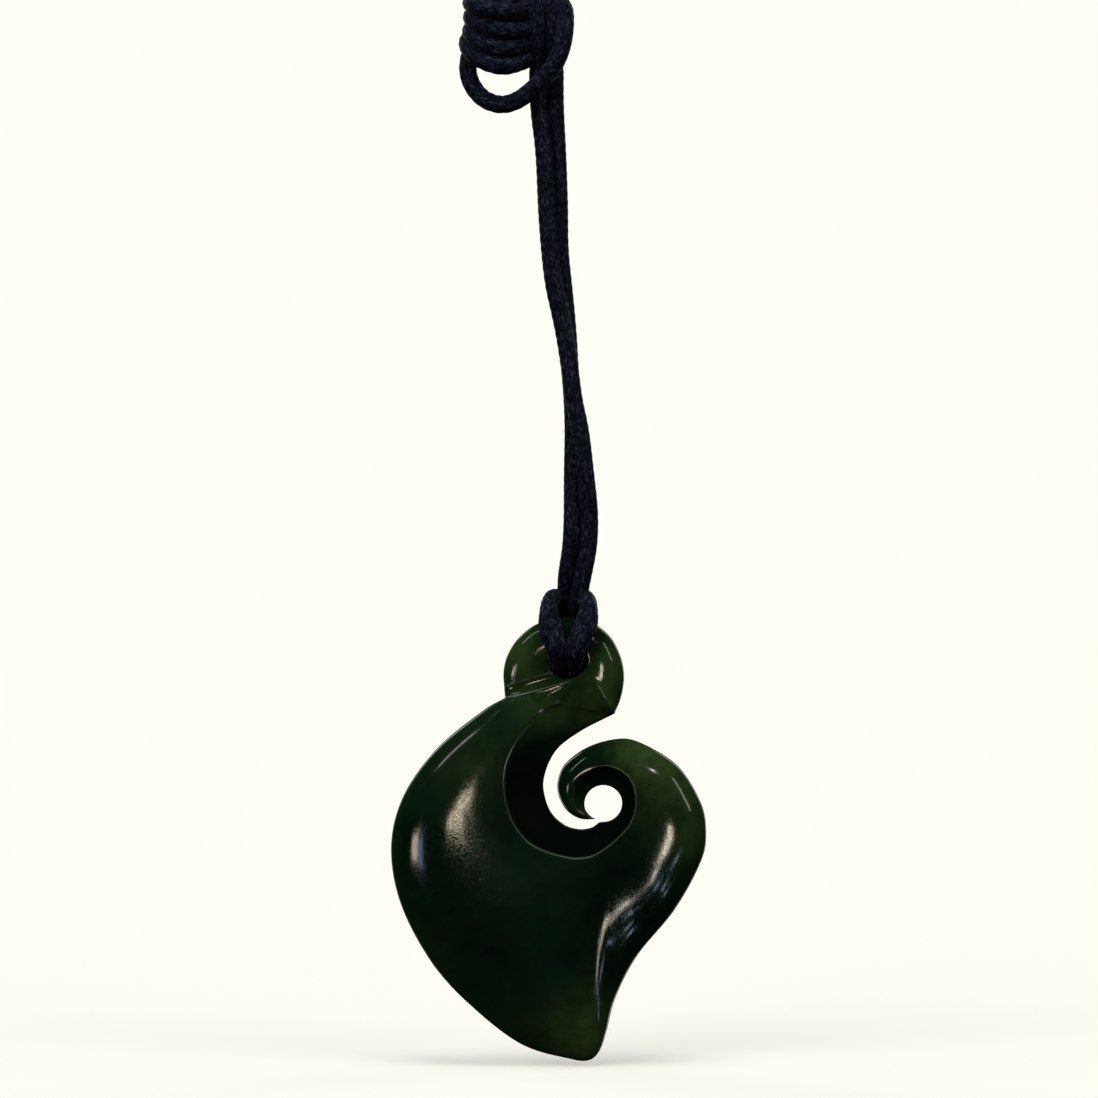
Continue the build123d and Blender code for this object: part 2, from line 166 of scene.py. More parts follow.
LEFT_NECK = [
    (-4.2, 0.0, -115.8), (-4.2, 0.0, -111.3), (-8.4, 0.1, -106.6), (-18.0, 0.3, -102.3),
    (-33.0, 0.5, -96.2), (-50.0, 0.6, -86.5), (-65.0, 0.5, -70.5), (-73.5, 0.2, -49.5),
    (-75.0, -0.2, -27.0), (-68.5, -0.4, -9.0), (-53.0, -0.3, 0.3), (-31.0, 0.0, 2.1),
    (-11.0, 0.0, 2.1),
]
RIGHT_NECK = [
    (-2.2, 0.0, -115.8), (-2.2, 0.0, -111.3), (1.6, -0.1, -106.5), (11.4, -0.3, -102.8),
    (27.0, -0.4, -97.4), (45.5, -0.4, -88.3), (62.5, -0.3, -72.5), (72.8, -0.1, -50.5),
    (75.0, 0.2, -27.0), (68.5, 0.4, -9.0), (53.0, 0.3, 0.3), (31.0, 0.0, 2.1),
    (11.0, 0.0, 2.1),
]
# One turn of the knot round its core, from above the legs' right side, and how far each
# point stands over the turn's lowest one.
KNOT_TURN = [
    (1.65, 1.3, 3.4), (0.9, 0.6, 2.8), (-0.9, 0.4, 1.9), (-2.5, -1.2, 0.9),
    (-4.3, -2.6, 0.0), (-6.2, -2.6, 0.4), (-7.6, -1.4, 1.5), (-8.05, 0.3, 2.8),
    (-7.2, 2.0, 3.6), (-5.2, 2.8, 4.0), (-2.9, 2.85, 4.2), (-0.6, 2.7, 4.2),
    (1.1, 2.2, 4.0),
]
# How far the knot's turns have risen, swayed and widened, and how steeply they lie, from the
# start of the first turn to the end of the last.
KNOT_TURNS = np.array([
    (0.0, 0.00, 1.00, 1.00), (1.68, -0.20, 1.02, 0.80), (3.45, 0.30, 0.93, 0.62),
    (5.4, -0.15, 0.98, 0.40), (7.5, 0.00, 0.90, 0.15),
])

# The tops of the two legs inside the knot: x for the left and the right, and the y and z that
# they share. Last, the cord's end tucked in among the turns.
LEG_TOP_X = ((-1.0, -1.0, -1.0, -1.0, -1.0, -1.2, -1.6), (0.7, 0.65, 0.65, 0.65, 0.65, 0.4, 0.1))
LEG_TOP = ((0.0, -124.5), (-0.5, -123.0), (-1.2, -121.3), (-1.6, -119.2), (-1.5, -117.4),
           (-0.2, -116.2), (0.8, -117.2))
TUCKED_END = [(-5.9, 0.1, -116.6), (-5.9, 0.1, -119.5), (-5.6, 0.1, -121.8)]


class Slot(Enum):
    """Names of the material slots."""

    STONE = "stone"
    CORD = "cord"
    CLASP = "clasp_metal"


class Role(Enum):
    """What a lamp of the studio is there for."""

    IMAGE = "the stone and cord mirror it, and it throws no light on paper"
    FILL = "it throws soft light, and nothing mirrors it"


class FarEnd(Enum):
    """What a cord's far end goes into."""

    KNOT = "object"
    CLASP = "fitting"


def linear(colour: str, alpha: float = 1.0) -> tuple[float, float, float, float]:
    """Turns an sRGB hex colour to linear light.

    Args:
        colour: Six hex digits after a hash.
        alpha: The fourth value.

    Returns:
        Red, green, blue and alpha.
    """
    parts = [int(colour[k:k + 2], 16) / 255 for k in (1, 3, 5)]
    light = [p / 12.92 if p <= 0.04045 else ((p + 0.055) / 1.055) ** 2.4 for p in parts]
    return (*light, alpha)


def clipped(numbers: np.ndarray) -> np.ndarray:
    """Cuts numbers off below 0 and above 1."""
    return np.clip(numbers, 0, 1)


def eased(rise: np.ndarray) -> np.ndarray:
    """Makes a straight rise start and end level: three times its square less twice its cube."""
    return clipped(rise)**2 * (3 - 2 * clipped(rise))


def add_node(tree: bpy.types.NodeTree, kind: str, settings: dict | None = None,
             links: dict | None = None) -> bpy.types.Node:
    """Adds a node with its settings and links.

    Args:
        tree: The material's or world's node tree.
        kind: The node's type, without its ShaderNode prefix.
        settings: Values of sockets, by name or number, and of the node's own properties.
            The name stops holds a colour ramp's places and colours.
        links: The sockets that feed this node's sockets, by name or number.

    Returns:
        The new node.
    """
    node = tree.nodes.new("ShaderNode" + kind)
    for name, value in (settings or {}).items():
        if name == "stops":
            elements = node.color_ramp.elements
            while len(elements) < len(value):
                elements.new(1.0)
            for element, (place, colour) in zip(elements, value):
                element.position = place
                element.color = colour
        elif isinstance(name, int) or name in node.inputs:
            node.inputs[name].default_value = value
        else:
            setattr(node, name, value)
    for name, socket in (links or {}).items():
        tree.links.new(socket, node.inputs[name])
    return node


def new_material(name: str) -> bpy.types.Material:
    """Makes a material whose node tree is empty.

    Args:
        name: The material's name.

    Returns:
        The material.
    """
    material = bpy.data.materials.new(name)
    material.use_nodes = True
    material.node_tree.nodes.clear()
    return material


@dataclass(frozen=True)
class PolishedNephrite:
    """Nephrite jade, carved, sanded and buffed.

    The buffing leaves fine pits that break a lamp's mirror image into grains, and the groove is
    dull. The colour holds painted light: painted shade in the groove, painted highlights along
    the ridge and the head's edge lines, and a lighter green painted where thin places and a few
    patches let light through.
    """

    deep: str = "#030E07"
    body: str = "#092413"
    # Painted light: a lighter green where light comes through thin stone, and a yellower one for
    # the glow patches.
    clear: str = "#1C4216"
    glow: str = "#42582A"
    # Painted shade: the near black of the flute, the cove and the bail hole's wall.
    groove: str = "#020803"
    # Painted highlight: the pale line along the ridge and the head's edge lines.
    painted_glint: str = "#7C8A76"
    # The stone's own mottling: soft clouds, with finer veins through them.
    cloud: float = 6.0 * MM
    vein: float = 1.6 * MM
    # Gentle waves that a hand-held wheel leaves, which bend a lamp's mirror image.
    waver: float = 2.6 * MM
    # Real pits are about 0.03 mm across, too fine to show, so they are drawn coarser.
    pit: float = 0.2 * MM
    pit_depth: float = 0.0035 * MM
    waver_depth: float = 3.0
    ior: float = 1.61
    sanded_gleam: float = 0.1
    buffed: tuple[float, float] = (0.04, 0.16)
    unbuffed: float = 0.6

    def colour(self, tree: bpy.types.NodeTree,
               place: bpy.types.NodeSocket) -> bpy.types.NodeSocket:
        """Adds the colour's nodes: clouds and veins by object place, and painted light and shade by
        attribute.

        Args:
            tree: The material's nodes.
            place: The object's own coordinates.

        Returns:
            The finished colour.
        """
        clouds = add_node(tree, "TexNoise", {"Scale": 1 / self.cloud, "Detail": 4.0,
                                             "Roughness": 0.6}, {"Vector": place})
        veins = add_node(tree, "TexNoise", {"Scale": 1 / self.vein, "Detail": 3.0,
                                            "Distortion": 1.2}, {"Vector": place})
        mottle = add_node(tree, "Math", {"operation": "MULTIPLY_ADD", 1: 0.45},
                          {0: veins.outputs["Fac"], 2: clouds.outputs["Fac"]})
        depth = add_node(tree, "MapRange", {"From Min": 0.45, "From Max": 1.0, "To Max": 1.0},
                         {"Value": mottle.outputs["Value"]})
        green = add_node(tree, "ValToRGB", {"stops": [(0.0, linear(self.deep)),
                                                      (1.0, linear(self.body))]},
                         {"Fac": depth.outputs["Result"]}).outputs["Color"]
        broken = add_node(tree, "MapRange", {"From Min": 0.5, "From Max": 0.8, "To Min": 0.45},
                          {"Value": mottle.outputs["Value"]}).outputs["Result"]
        # Painted light and shade: lighter greens where light comes through the stone, near black
        # shade in the flute and cove, and pale highlights along the ridge and edge lines.
        layers = (("thin", self.clear), ("warm", self.glow), ("groove", self.groove),
                  ("pale", self.painted_glint))
        for name, tint in layers:
            share = add_node(tree, "Attribute", {"attribute_name": name}).outputs["Fac"]
            if name != "groove":
                share = add_node(tree, "Math", {"operation": "MULTIPLY"},
                                 {0: share, 1: broken}).outputs["Value"]
            green = add_node(tree, "Mix", {"data_type": "RGBA", 7: linear(tint)},
                             {0: share, 6: green}).outputs[2]
        return green

    def material(self, sanded: bool = False) -> bpy.types.Material:
        """Builds the finish: colour, and pits and gentle waves as bump.

        The pits' bottoms are rougher than the face between them.

        Args:
            sanded: Whether this is the groove's dull finish, which no buffing wheel reaches.

        Returns:
            The material.
        """
        made = new_material("sanded_nephrite" if sanded else "polished_nephrite")
        tree = made.node_tree
        place = add_node(tree, "TexCoord").outputs["Object"]
        pits = add_node(tree, "TexNoise", {"Scale": 1 / self.pit, "Detail": 2.0},
                        {"Vector": place})
        waves = add_node(tree, "TexNoise", {"Scale": 1 / self.waver, "Detail": 1.0},
                         {"Vector": place})
        height = add_node(tree, "Math", {"operation": "MULTIPLY_ADD", 1: self.waver_depth},
                          {0: waves.outputs["Fac"], 2: pits.outputs["Fac"]})
        bump = add_node(tree, "Bump", {"Strength": 1.0, "Distance": self.pit_depth},
                        {"Height": height.outputs["Value"]})
        smooth, rough = self.buffed
        polish = add_node(tree, "MapRange", {"From Min": 0.42, "From Max": 0.62,
                                             "To Min": rough, "To Max": smooth},
                          {"Value": pits.outputs["Fac"]}).outputs["Result"]
        shader = add_node(tree, "BsdfPrincipled",
                          {"IOR": self.ior, "Roughness": self.unbuffed,
                           "Specular IOR Level": self.sanded_gleam if sanded else 0.5},
                          {"Base Color": self.colour(tree, place),
                           "Normal": bump.outputs["Normal"],
                           **({} if sanded else {"Roughness": polish})})
        add_node(tree, "OutputMaterial", links={"Surface": shader.outputs["BSDF"]})
        return made


@dataclass(frozen=True)
class BraidedNylon:
    """Nylon filament, braided: near black with a blue cast, painted shade in the valleys and a
    painted satin gleam on each float.
    """

    # Painted light: shade is painted into the valleys between floats, and gleam is painted on the
    # floats' crests as flecks of highlight.
    thread: str = "#070A19"
    gleam: str = "#3F4757"
    shade: str = "#020207"
    # One filament is about 0.03 mm thick, too fine to show, so a fleck is a bundle of them.
    fleck_width: float = 0.2 * MM
    fleck_length: float = 0.9 * MM
    fleck_height: float = 0.03 * MM
    roughness: float = 0.42

    def material(self) -> bpy.types.Material:
        """Builds the finish: flecks of painted gleam run along each float by UV on the crests, and
        the valleys get painted shade.

        Returns:
            The material.
        """
        made = new_material("braided_nylon")
        tree = made.node_tree
        uv = add_node(tree, "UVMap", {"uv_map": "along_float"}).outputs["UV"]
        crest = add_node(tree, "Attribute", {"attribute_name": "crest"}).outputs["Fac"]
        stretched = add_node(tree, "Mapping",
                             {"Scale": (1 / self.fleck_width, 1 / self.fleck_length, 1.0)},
                             {"Vector": uv})
        flecks = add_node(tree, "TexNoise", {"Scale": 1.0, "Detail": 3.0, "Roughness": 0.65},
                          {"Vector": stretched.outputs["Vector"]})
        bright = add_node(tree, "MapRange", {"From Min": 0.5, "From Max": 0.64},
                          {"Value": flecks.outputs["Fac"]})
        # Painted highlight: the flecks show only on the crests, the valleys take painted shade.
        lit = add_node(tree, "Math", {"operation": "MULTIPLY"},
                       {0: bright.outputs["Result"], 1: crest})
        body = add_node(tree, "Mix", {"data_type": "RGBA", 6: linear(self.shade),
                                      7: linear(self.thread)}, {0: crest})
        colour = add_node(tree, "Mix", {"data_type": "RGBA", 7: linear(self.gleam)},
                          {0: lit.outputs["Value"], 6: body.outputs[2]})
        bump = add_node(tree, "Bump", {"Strength": 0.5, "Distance": self.fleck_height},
                        {"Height": flecks.outputs["Fac"]})
        shader = add_node(tree, "BsdfPrincipled",
                          {"Roughness": self.roughness, "Sheen Weight": 0.04,
                           "Sheen Roughness": 0.4, "Specular IOR Level": 0.12},
                          {"Base Color": colour.outputs[2], "Normal": bump.outputs["Normal"]})
        add_node(tree, "OutputMaterial", links={"Surface": shader.outputs["BSDF"]})
        return made


@dataclass(frozen=True)
class TurnedSteel:
    """Stainless steel, turned on a lathe and brushed: fine rings round the barrel."""

    metal: str = "#B9BABC"
    # The tool's rings are really about 0.05 mm apart, and are drawn coarser to show.
    ring: float = 0.12 * MM
    ring_depth: float = 0.01 * MM
    roughness: float = 0.28

    def material(self) -> bpy.types.Material:
        """Builds the finish: rings along X by object place, from the lathe's tool.

        Returns:
            The material.
        """
        made = new_material("turned_steel")
        tree = made.node_tree
        place = add_node(tree, "TexCoord").outputs["Object"]
        along = add_node(tree, "Mapping", {"Scale": (1 / self.ring, 8.0, 8.0)},
                         {"Vector": place})
        rings = add_node(tree, "TexNoise", {"Scale": 1.0, "Detail": 2.0},
                         {"Vector": along.outputs["Vector"]})
        bump = add_node(tree, "Bump", {"Strength": 0.25, "Distance": self.ring_depth},
                        {"Height": rings.outputs["Fac"]})
        shader = add_node(tree, "BsdfPrincipled",
                          {"Base Color": linear(self.metal), "Metallic": 1.0,
                           "Roughness": self.roughness},
                          {"Normal": bump.outputs["Normal"]})
        add_node(tree, "OutputMaterial", links={"Surface": shader.outputs["BSDF"]})
        return made


def follow(rows: np.ndarray, stations: np.ndarray) -> np.ndarray:
    """Carries a table's columns to any stations on a smooth curve through its rows.

    Between two rows it is a cubic whose slope at each row is that of the line between the
    rows on both sides.

    Args:
        rows: A table whose first column is the station.
        stations: Where the columns are wanted.

    Returns:
        One row of the other columns for each station.
    """
    s, v = rows[:, 0], rows[:, 1:]
    ahead = np.minimum(np.arange(len(s)) + 1, len(s) - 1)
    behind = np.maximum(np.arange(len(s)) - 1, 0)
    slopes = (v[ahead] - v[behind]) / (s[ahead] - s[behind])[:, None]
    i = np.clip(np.searchsorted(s, stations, side="right") - 1, 0, len(s) - 2)
    span = (s[i + 1] - s[i])[:, None]
    t = (stations - s[i])[:, None] / span
    return (v[i] * (2 * t**3 - 3 * t**2 + 1) + v[i + 1] * (3 * t**2 - 2 * t**3)
            + span * (slopes[i] * (t**3 - 2 * t**2 + t) + slopes[i + 1] * (t**3 - t**2)))


def grid_quads(rows: int, columns: int, first: int = 0, wrap: bool = False) -> np.ndarray:
    """Lists the quads of a grid of points, row after row.

    Args:
        rows: Number of rows of points.
        columns: Number of points in a row.
        first: Index of the grid's first point.
        wrap: Whether the last column joins the first.

    Returns:
        Four point indices for each quad.
    """
    across = columns if wrap else columns - 1
    r, c = np.meshgrid(np.arange(rows - 1), np.arange(across), indexing="ij")
    after = (c + 1) % columns
    corners = [r * columns + c, (r + 1) * columns + c, (r + 1) * columns + after,
               r * columns + after]
    return np.stack(corners, axis=-1).reshape(-1, 4) + first


def mesh_object(name: str, points: np.ndarray, quads: np.ndarray) -> bpy.types.Object:
    """Makes an object at the origin from whole arrays of points and quads.

    Args:
        name: The piece's name.
        points: Places in metres.
        quads: Four point indices for each face.

    Returns:
        The linked object, shaded smooth.
    """
    mesh = bpy.data.meshes.new(name)
    mesh.vertices.add(len(points))
    mesh.vertices.foreach_set("co", np.ascontiguousarray(points, dtype=np.float32).ravel())
    mesh.loops.add(quads.size)
    mesh.loops.foreach_set("vertex_index", quads.astype(np.int32).ravel())
    mesh.polygons.add(len(quads))
    mesh.polygons.foreach_set("loop_start", np.arange(0, quads.size, 4, dtype=np.int32))
    mesh.polygons.foreach_set("use_smooth", np.ones(len(quads), dtype=bool))
    mesh.update(calc_edges=True)
    mesh.validate()
    made = bpy.data.objects.new(name, mesh)
    bpy.context.scene.collection.objects.link(made)
    return made


def close_seams(piece: bpy.types.Object, reach: float = 0.0005 * MM) -> None:
    """Merges points that lie together, drops what closed up and turns the faces outwards.

    Args:
        piece: The piece to close.
        reach: How near each other points are that become one.
    """
    work = bmesh.new()
    work.from_mesh(piece.data)
    bmesh.ops.remove_doubles(work, verts=work.verts, dist=reach)
    bmesh.ops.dissolve_degenerate(work, edges=work.edges, dist=reach)
    bmesh.ops.recalc_face_normals(work, faces=work.faces)
    work.to_mesh(piece.data)
    work.free()


def add_attribute(piece: bpy.types.Object, name: str, values: np.ndarray) -> None:
    """Stores one number for each point of a piece, which its material reads."""
    layer = piece.data.attributes.new(name, "FLOAT", "POINT")
    layer.data.foreach_set("value", values.astype(np.float32).ravel())


def read(items: bpy.types.bpy_prop_collection, name: str, each: int = 1,
         kind: type = np.float32) -> np.ndarray:
    """Reads one property of all the points, edges, corners or faces of a mesh.

    Args:
        items: The points, edges, corners or faces, or an attribute's data.
        name: The property.
        each: How many numbers one item has.
        kind: The numbers' type.

    Returns:
        The numbers of all the items, one after another.
    """
    numbers = np.empty(len(items) * each, dtype=kind)
    items.foreach_get(name, numbers)
    return numbers


def points_of(mesh: bpy.types.Mesh) -> np.ndarray:
    """Reads a mesh's points, a row for each."""
    return read(mesh.vertices, "co", 3).reshape(-1, 3).astype(float)


def relax_depth(piece: bpy.types.Object, share: str, rounds: int) -> None:
    """Eases a piece's depth towards the mean of each point's neighbours, round after round.

    Args:
        piece: The piece, whose x and z stay as they are.
        share: The attribute that says how far each point may ease.
        rounds: How many times it is done.
    """
    mesh = piece.data
    count = len(mesh.vertices)
    one, other = read(mesh.edges, "vertices", 2, np.int32).reshape(-1, 2).T
    weight = read(mesh.attributes[share].data, "value")
    neighbours = np.bincount(one, minlength=count) + np.bincount(other, minlength=count)
    places = points_of(mesh)
    depth = places[:, 1]
    for _ in range(rounds):
        total = (np.bincount(one, weights=depth[other], minlength=count)
                 + np.bincount(other, weights=depth[one], minlength=count))
        depth = depth + weight * (total / np.maximum(neighbours, 1) - depth)
    places[:, 1] = depth
    mesh.vertices.foreach_set("co", places.astype(np.float32).ravel())
    mesh.update()


@dataclass
class Patch:
    """A grid of points on one face of the stone, with the numbers that its finish reads.

    The marks are thin, pale, groove, sanded and relax, one number for each point.
    """

    points: np.ndarray
    marks: dict[str, np.ndarray]
    wrap: bool = False


@dataclass
class CarvedStone:
    """The koru: a band of stone from the neck round the body to the curl, and a drilled head.

    Lengths are in metres, angles in degrees, and centres are shares of the width and height.
    Names with columns or spokes count a grid's points. The swirls turn the head's spokes round
    the bail hole: the early one up to a share of the way round, the late one from another.
    """

    width: float = 31.5 * MM
    height: float = 44.3 * MM
    body: float = 7.0 * MM
    head: float = 4.2 * MM
    bail_hole: float = 3.6 * MM
    curl_hole: float = 3.78 * MM
    bail_centre: tuple[float, float] = (0.562, 0.903)
    curl_centre: tuple[float, float] = (0.674, 0.580)
    hole_first: float = 16.0
    hole_start: float = 262.0
    hole_turn: float = 324.0
    cusp_reach: float = 0.6
    tongue_close: float = 34.3
    flute_even: float = 0.86
    dome_fullness: float = 2.35
    head_fullness: float = 2.6
    lobe_step: float = 0.7 * MM
    lobe_rise: float = 0.35
    lobe_bow: float = 0.14 * MM
    lap_bow: float = 0.22 * MM
    late_from: float = 0.45
    late_swirl: float = 84.0
    early_to: float = 0.4
    early_swirl: float = 12.0
    cove_hollow: float = 0.35 * MM
    rim_round: float = 0.35 * MM
    slot_round: float = 0.14 * MM
    waist: float = 0.5 * MM
    # The waist's share at each of the wall's columns, from the stone's middle outwards.
    waist_steps: tuple[float, float, float] = (1.0, 0.67, 0.33)
    painted_glint_width: float = 0.3 * MM
    edge_steps: tuple[float, float] = (0.09 * MM, 0.25 * MM)
    thin_power: float = 5.0
    steps_per_station: int = 11
    wall_columns: int = 3
    slot_columns: int = 5
    flute_columns: int = 10
    dome_columns: int = 30
    rim_columns: int = 7
    spoke_columns: int = 26
    edge_spokes: int = 144
    eased_spokes: int = 48
    cove_spokes: int = 11
    relax_rounds: int = 290
    finish: PolishedNephrite = field(default_factory=PolishedNephrite)

    def __post_init__(self) -> None:
        """Reads from the frame where the stone hangs."""
        low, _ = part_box("pendant")
        self.low = (low[0], low[2])

    def on_plan(self, shares: np.ndarray) -> np.ndarray:
        """Turns shares of the width and height into x and z."""
        return np.asarray(shares) * (self.width, self.height) + self.low

    def inner_edge(self, stations: np.ndarray) -> np.ndarray:
        """Gives x and z of the slot's wall and, further on, of the curl's round hole.

        The hole is a circle that draws in to the tongue's point over the last stations.

        Args:
            stations: Where the edge is wanted.

        Returns:
            One row of x and z for each station.
        """
        wall = self.on_plan(follow(SLOT_WALL, np.minimum(stations, self.hole_first)))
        last = OUTLINE[-1, 0]
        share = (stations - self.hole_first) / (last - self.hole_first)
        angle = np.radians(self.hole_start + share * self.hole_turn)
        spot = np.stack([np.cos(angle), np.sin(angle)], axis=-1) * self.curl_hole / 2
        ring = self.on_plan(self.curl_centre) + spot
        point = self.on_plan(OUTLINE[-1, 1:])
        closing = clipped((stations - self.tongue_close) / (last - self.tongue_close)) ** 2
        ring += (point - ring) * closing[:, None]
        passed = eased((stations - self.hole_first) / (2 * self.cusp_reach) + 0.5)
        return wall + (ring - wall) * passed[:, None]

    def thinness(self, thick: np.ndarray) -> np.ndarray:
        """Turns a half thickness to a share that is 1 at nothing and falls off fast."""
        return clipped(1 - thick / (self.body / 2)) ** self.thin_power

    @property
    def top_of_wall(self) -> int:
        """The band's column at the top of the slot's rounded edge, where the flute starts."""
        return self.wall_columns + self.slot_columns - 1

    def from_ridge(self) -> np.ndarray:
        """Numbers the band's columns from its ridge, below 0 on the flute's side.

        Returns:
            One number for each column.
        """
        close = len(self.edge_steps)
        ridge = self.wall_columns + self.slot_columns + self.flute_columns + close
        return np.arange(ridge + 1 + close + self.dome_columns) - ridge

    def band(self) -> Patch:
        """Works out the front of the band, as a grid of x, half thickness and z.

        Across it, from the middle of the slot's wall: the wall, its rounded edge as a quarter
        circle, the flute as a straight rise less a parabola, and the dome as a full ellipse
        with a little crown, down to nothing at the outline. Two columns stand close to the
        ridge on each side, so that it stays crisp.

        Returns:
            The grid, with a row for each station, and its marks.
        """
        last = OUTLINE[-1, 0]
        stations = np.linspace(0, last, int(last) * self.steps_per_station + 1)
        rows = len(stations)
        inner = self.inner_edge(stations)
        crest = self.on_plan(follow(RIDGE, stations))
        outer = self.on_plan(follow(OUTLINE, stations))
        ridge, wall, hollow, crown, pale = follow(RELIEF, stations).T[:, :, None]
        ridge, wall, hollow, crown = (share * self.body / 2
                                      for share in (ridge, wall, hollow, crown))
        flute_width = np.linalg.norm(crest - inner, axis=1)[:, None]
        dome_width = np.linalg.norm(outer - crest, axis=1)[:, None]
        near = np.array([self.edge_steps])
        rounding = np.minimum(self.slot_round, 0.9 * wall)
        turn = np.linspace(0, np.pi / 2, self.slot_columns)[None, :]
        start = np.clip(rounding / np.maximum(flute_width, TINY), 0, 0.5)
        before = 1 - np.minimum(near / np.maximum(flute_width, TINY), (0.03, 0.06))[:, ::-1]
        across = np.linspace(0, self.flute_even, self.flute_columns + 1)[None, 1:]
        t = np.concatenate([
            np.zeros((rows, self.wall_columns)), start * (1 - np.cos(turn)),
            start + (1 - start) * across, before, np.ones((rows, 1))], axis=1)
        flute = wall + (ridge - wall) * t - hollow * 4 * t * (1 - t)
        flute -= rounding * self.edge_drop(turn, t.shape[1])
        flute[:, :self.wall_columns] = (wall - rounding) * self.up_the_wall()
        flute_plan = inner[:, None] + (crest - inner)[:, None] * t[:, :, None]
        after = np.minimum(near / np.maximum(dome_width, TINY), (0.02, 0.045))
        even = np.sin(np.linspace(0, np.pi / 2, self.dome_columns + 1))[1:]
        s = np.concatenate([after, np.broadcast_to(even, (rows, self.dome_columns))], axis=1)
        fall = np.sqrt(clipped(1 - s**self.dome_fullness))
        dome = ridge * fall + crown * 4 * s * (1 - s)
        dome_plan = crest[:, None] + (outer - crest)[:, None] * s[:, :, None]
        plan = np.concatenate([flute_plan, dome_plan], axis=1)
        high = np.concatenate([flute, dome], axis=1)
        flute_first = self.top_of_wall + 1
        thick = high.copy()
        thick[:, :flute_first] = high[:, flute_first:flute_first + 1]
        column, from_neck = self.from_ridge(), stations[:, None]
        # Painted shade in the flute sets in over the first five stations and lightens again up
        # the right side.
        painted_flute_shade = clipped((from_neck - 0.6) / 4.5) * np.clip(
            1.25 - (from_neck - 17) / 16, 0.4, 1)
        marks = {
            # Painted light: thin places painted lighter green, as light through the stone.
            "thin": self.thinness(thick),
            # The ridge's painted highlight, strongest on the ridge itself.
            "pale": pale * np.interp(column, (-2, -1, 0, 1, 2), (0, 0.15, 1, 0.1, 0)),
            # Painted shade in the flute, lighter towards the ridge.
            "groove": painted_flute_shade * np.interp(column, (-2, -1, 0, 1), (1, 0.6, 0.25, 0)),
            "sanded": clipped(from_neck * 9) * (column < 0),
            "relax": clipped(1.3 - from_neck / 2.6) ** 2 * self.relax_across(),
        }
        return Patch(np.stack([plan[..., 0], high, plan[..., 1]], axis=-1), marks)

    def edge_drop(self, turn: np.ndarray, columns: int) -> np.ndarray:
        """Says how far each column lies below a rounded edge's top, as a share of its radius.

        It is all of it on the wall and one less the sine of the turn on the quarter circle.

        Args:
            turn: Angles round the quarter circle.
            columns: Number of columns in all.

        Returns:
            One row of shares.
        """
        flat = np.zeros((1, columns - self.wall_columns - turn.size))
        return np.concatenate([np.ones((1, self.wall_columns)), 1 - np.sin(turn), flat], axis=1)

    def up_the_wall(self) -> np.ndarray:
        """Spaces the wall's columns evenly from the stone's middle up to its rounded edge."""
        return np.linspace(0, 1, self.wall_columns + 1)[None, :-1]

    def relax_across(self) -> np.ndarray:
        """Says how far each column of the band may ease where the head joins it."""
        return np.interp(self.from_ridge(), (-14, -13, -9, 21, 32), (0, 0.45, 1, 1, 0))

    def head_patch(self, neck: np.ndarray) -> Patch:
        """Works out the front of the head, as spokes from the bail hole to its bound.

        Clockwise from the lapped lobe, the bound is the head's thin edge, then the neck's
        section, then the cove's short end. Each spoke swings round the hole by its own share.
        Its height is a full ellipse where the bound is thin and runs straight on into the
        neck, with the hole's edge as a quarter circle. The points of a spoke crowd towards a
        thin bound and are evenly spaced where it runs into the neck.

        Args:
            neck: The band's first row from the flute's edge to the outline.

        Returns:
            A grid of x, half thickness and z that closes on itself, and its marks.
        """
        edge_k = np.linspace(0, HEAD_EDGE[-1, 0], self.edge_spokes + 1)[:-1]
        edge = self.on_plan(follow(HEAD_EDGE, edge_k))
        edge = np.stack([edge[:, 0], np.zeros(len(edge)), edge[:, 1]], axis=-1)
        cove_t = np.linspace(0, 1, self.cove_spokes + 2)[1:-1, None]
        cove = neck[-1] + (edge[0] - neck[-1]) * cove_t
        bound = np.concatenate([edge, neck, cove])
        centre = self.on_plan(self.bail_centre)
        out = np.unwrap(np.arctan2(bound[:, 2] - centre[1], bound[:, 0] - centre[0]))
        turned = clipped((out[0] - out) / (out[0] - out[len(edge) + len(neck) - 1]))
        late = eased((turned - self.late_from) / (1 - self.late_from))
        early = clipped(1 - turned / self.early_to)
        angle = out + np.radians(self.late_swirl) * late + np.radians(self.early_swirl) * early**2
        first, final = angle[0], angle[len(edge) + len(neck) - 1]
        angle[-len(cove):] = final + (first - 2 * np.pi - final) * cove_t[:, 0]
        radius = self.bail_hole / 2
        rim = centre + radius * np.stack([np.cos(angle), np.sin(angle)], axis=-1)
        lobe = clipped(1 - turned / self.lobe_rise) ** 2
        lobe[-len(cove):] = cove_t[:, 0]
        hollow = np.zeros(len(bound))
        hollow[-len(cove):] = (4 * cove_t * (1 - cove_t))[:, 0] * self.cove_hollow
        reach = np.linalg.norm(bound[:, [0, 2]] - rim, axis=1)[:, None]
        turn = np.linspace(0, np.pi / 2, self.rim_columns)[None, :]
        start = self.rim_round / reach
        thick = bound[:, 1][:, None]
        joined = np.minimum(1.0, thick / (self.head / 2))
        even = np.linspace(0, 1, self.spoke_columns + 1)[None, 1:]
        s = start + (1 - start) * (np.sin(even * np.pi / 2) * (1 - joined) + even * joined)
        t = np.concatenate([np.zeros((len(bound), self.wall_columns)),
                            start * (1 - np.cos(turn)), s], axis=1)
        top = (self.head / 2 - lobe * self.lobe_step)[:, None]
        face = thick + (top - thick) * clipped(1 - t**self.head_fullness) ** (
            1 / (2 - joined))
        face -= hollow[:, None] * clipped(1 - t**6)
        face = face - self.rim_round * self.edge_drop(turn, t.shape[1])
        face[:, :self.wall_columns] = (top - hollow[:, None] - self.rim_round) * self.up_the_wall()
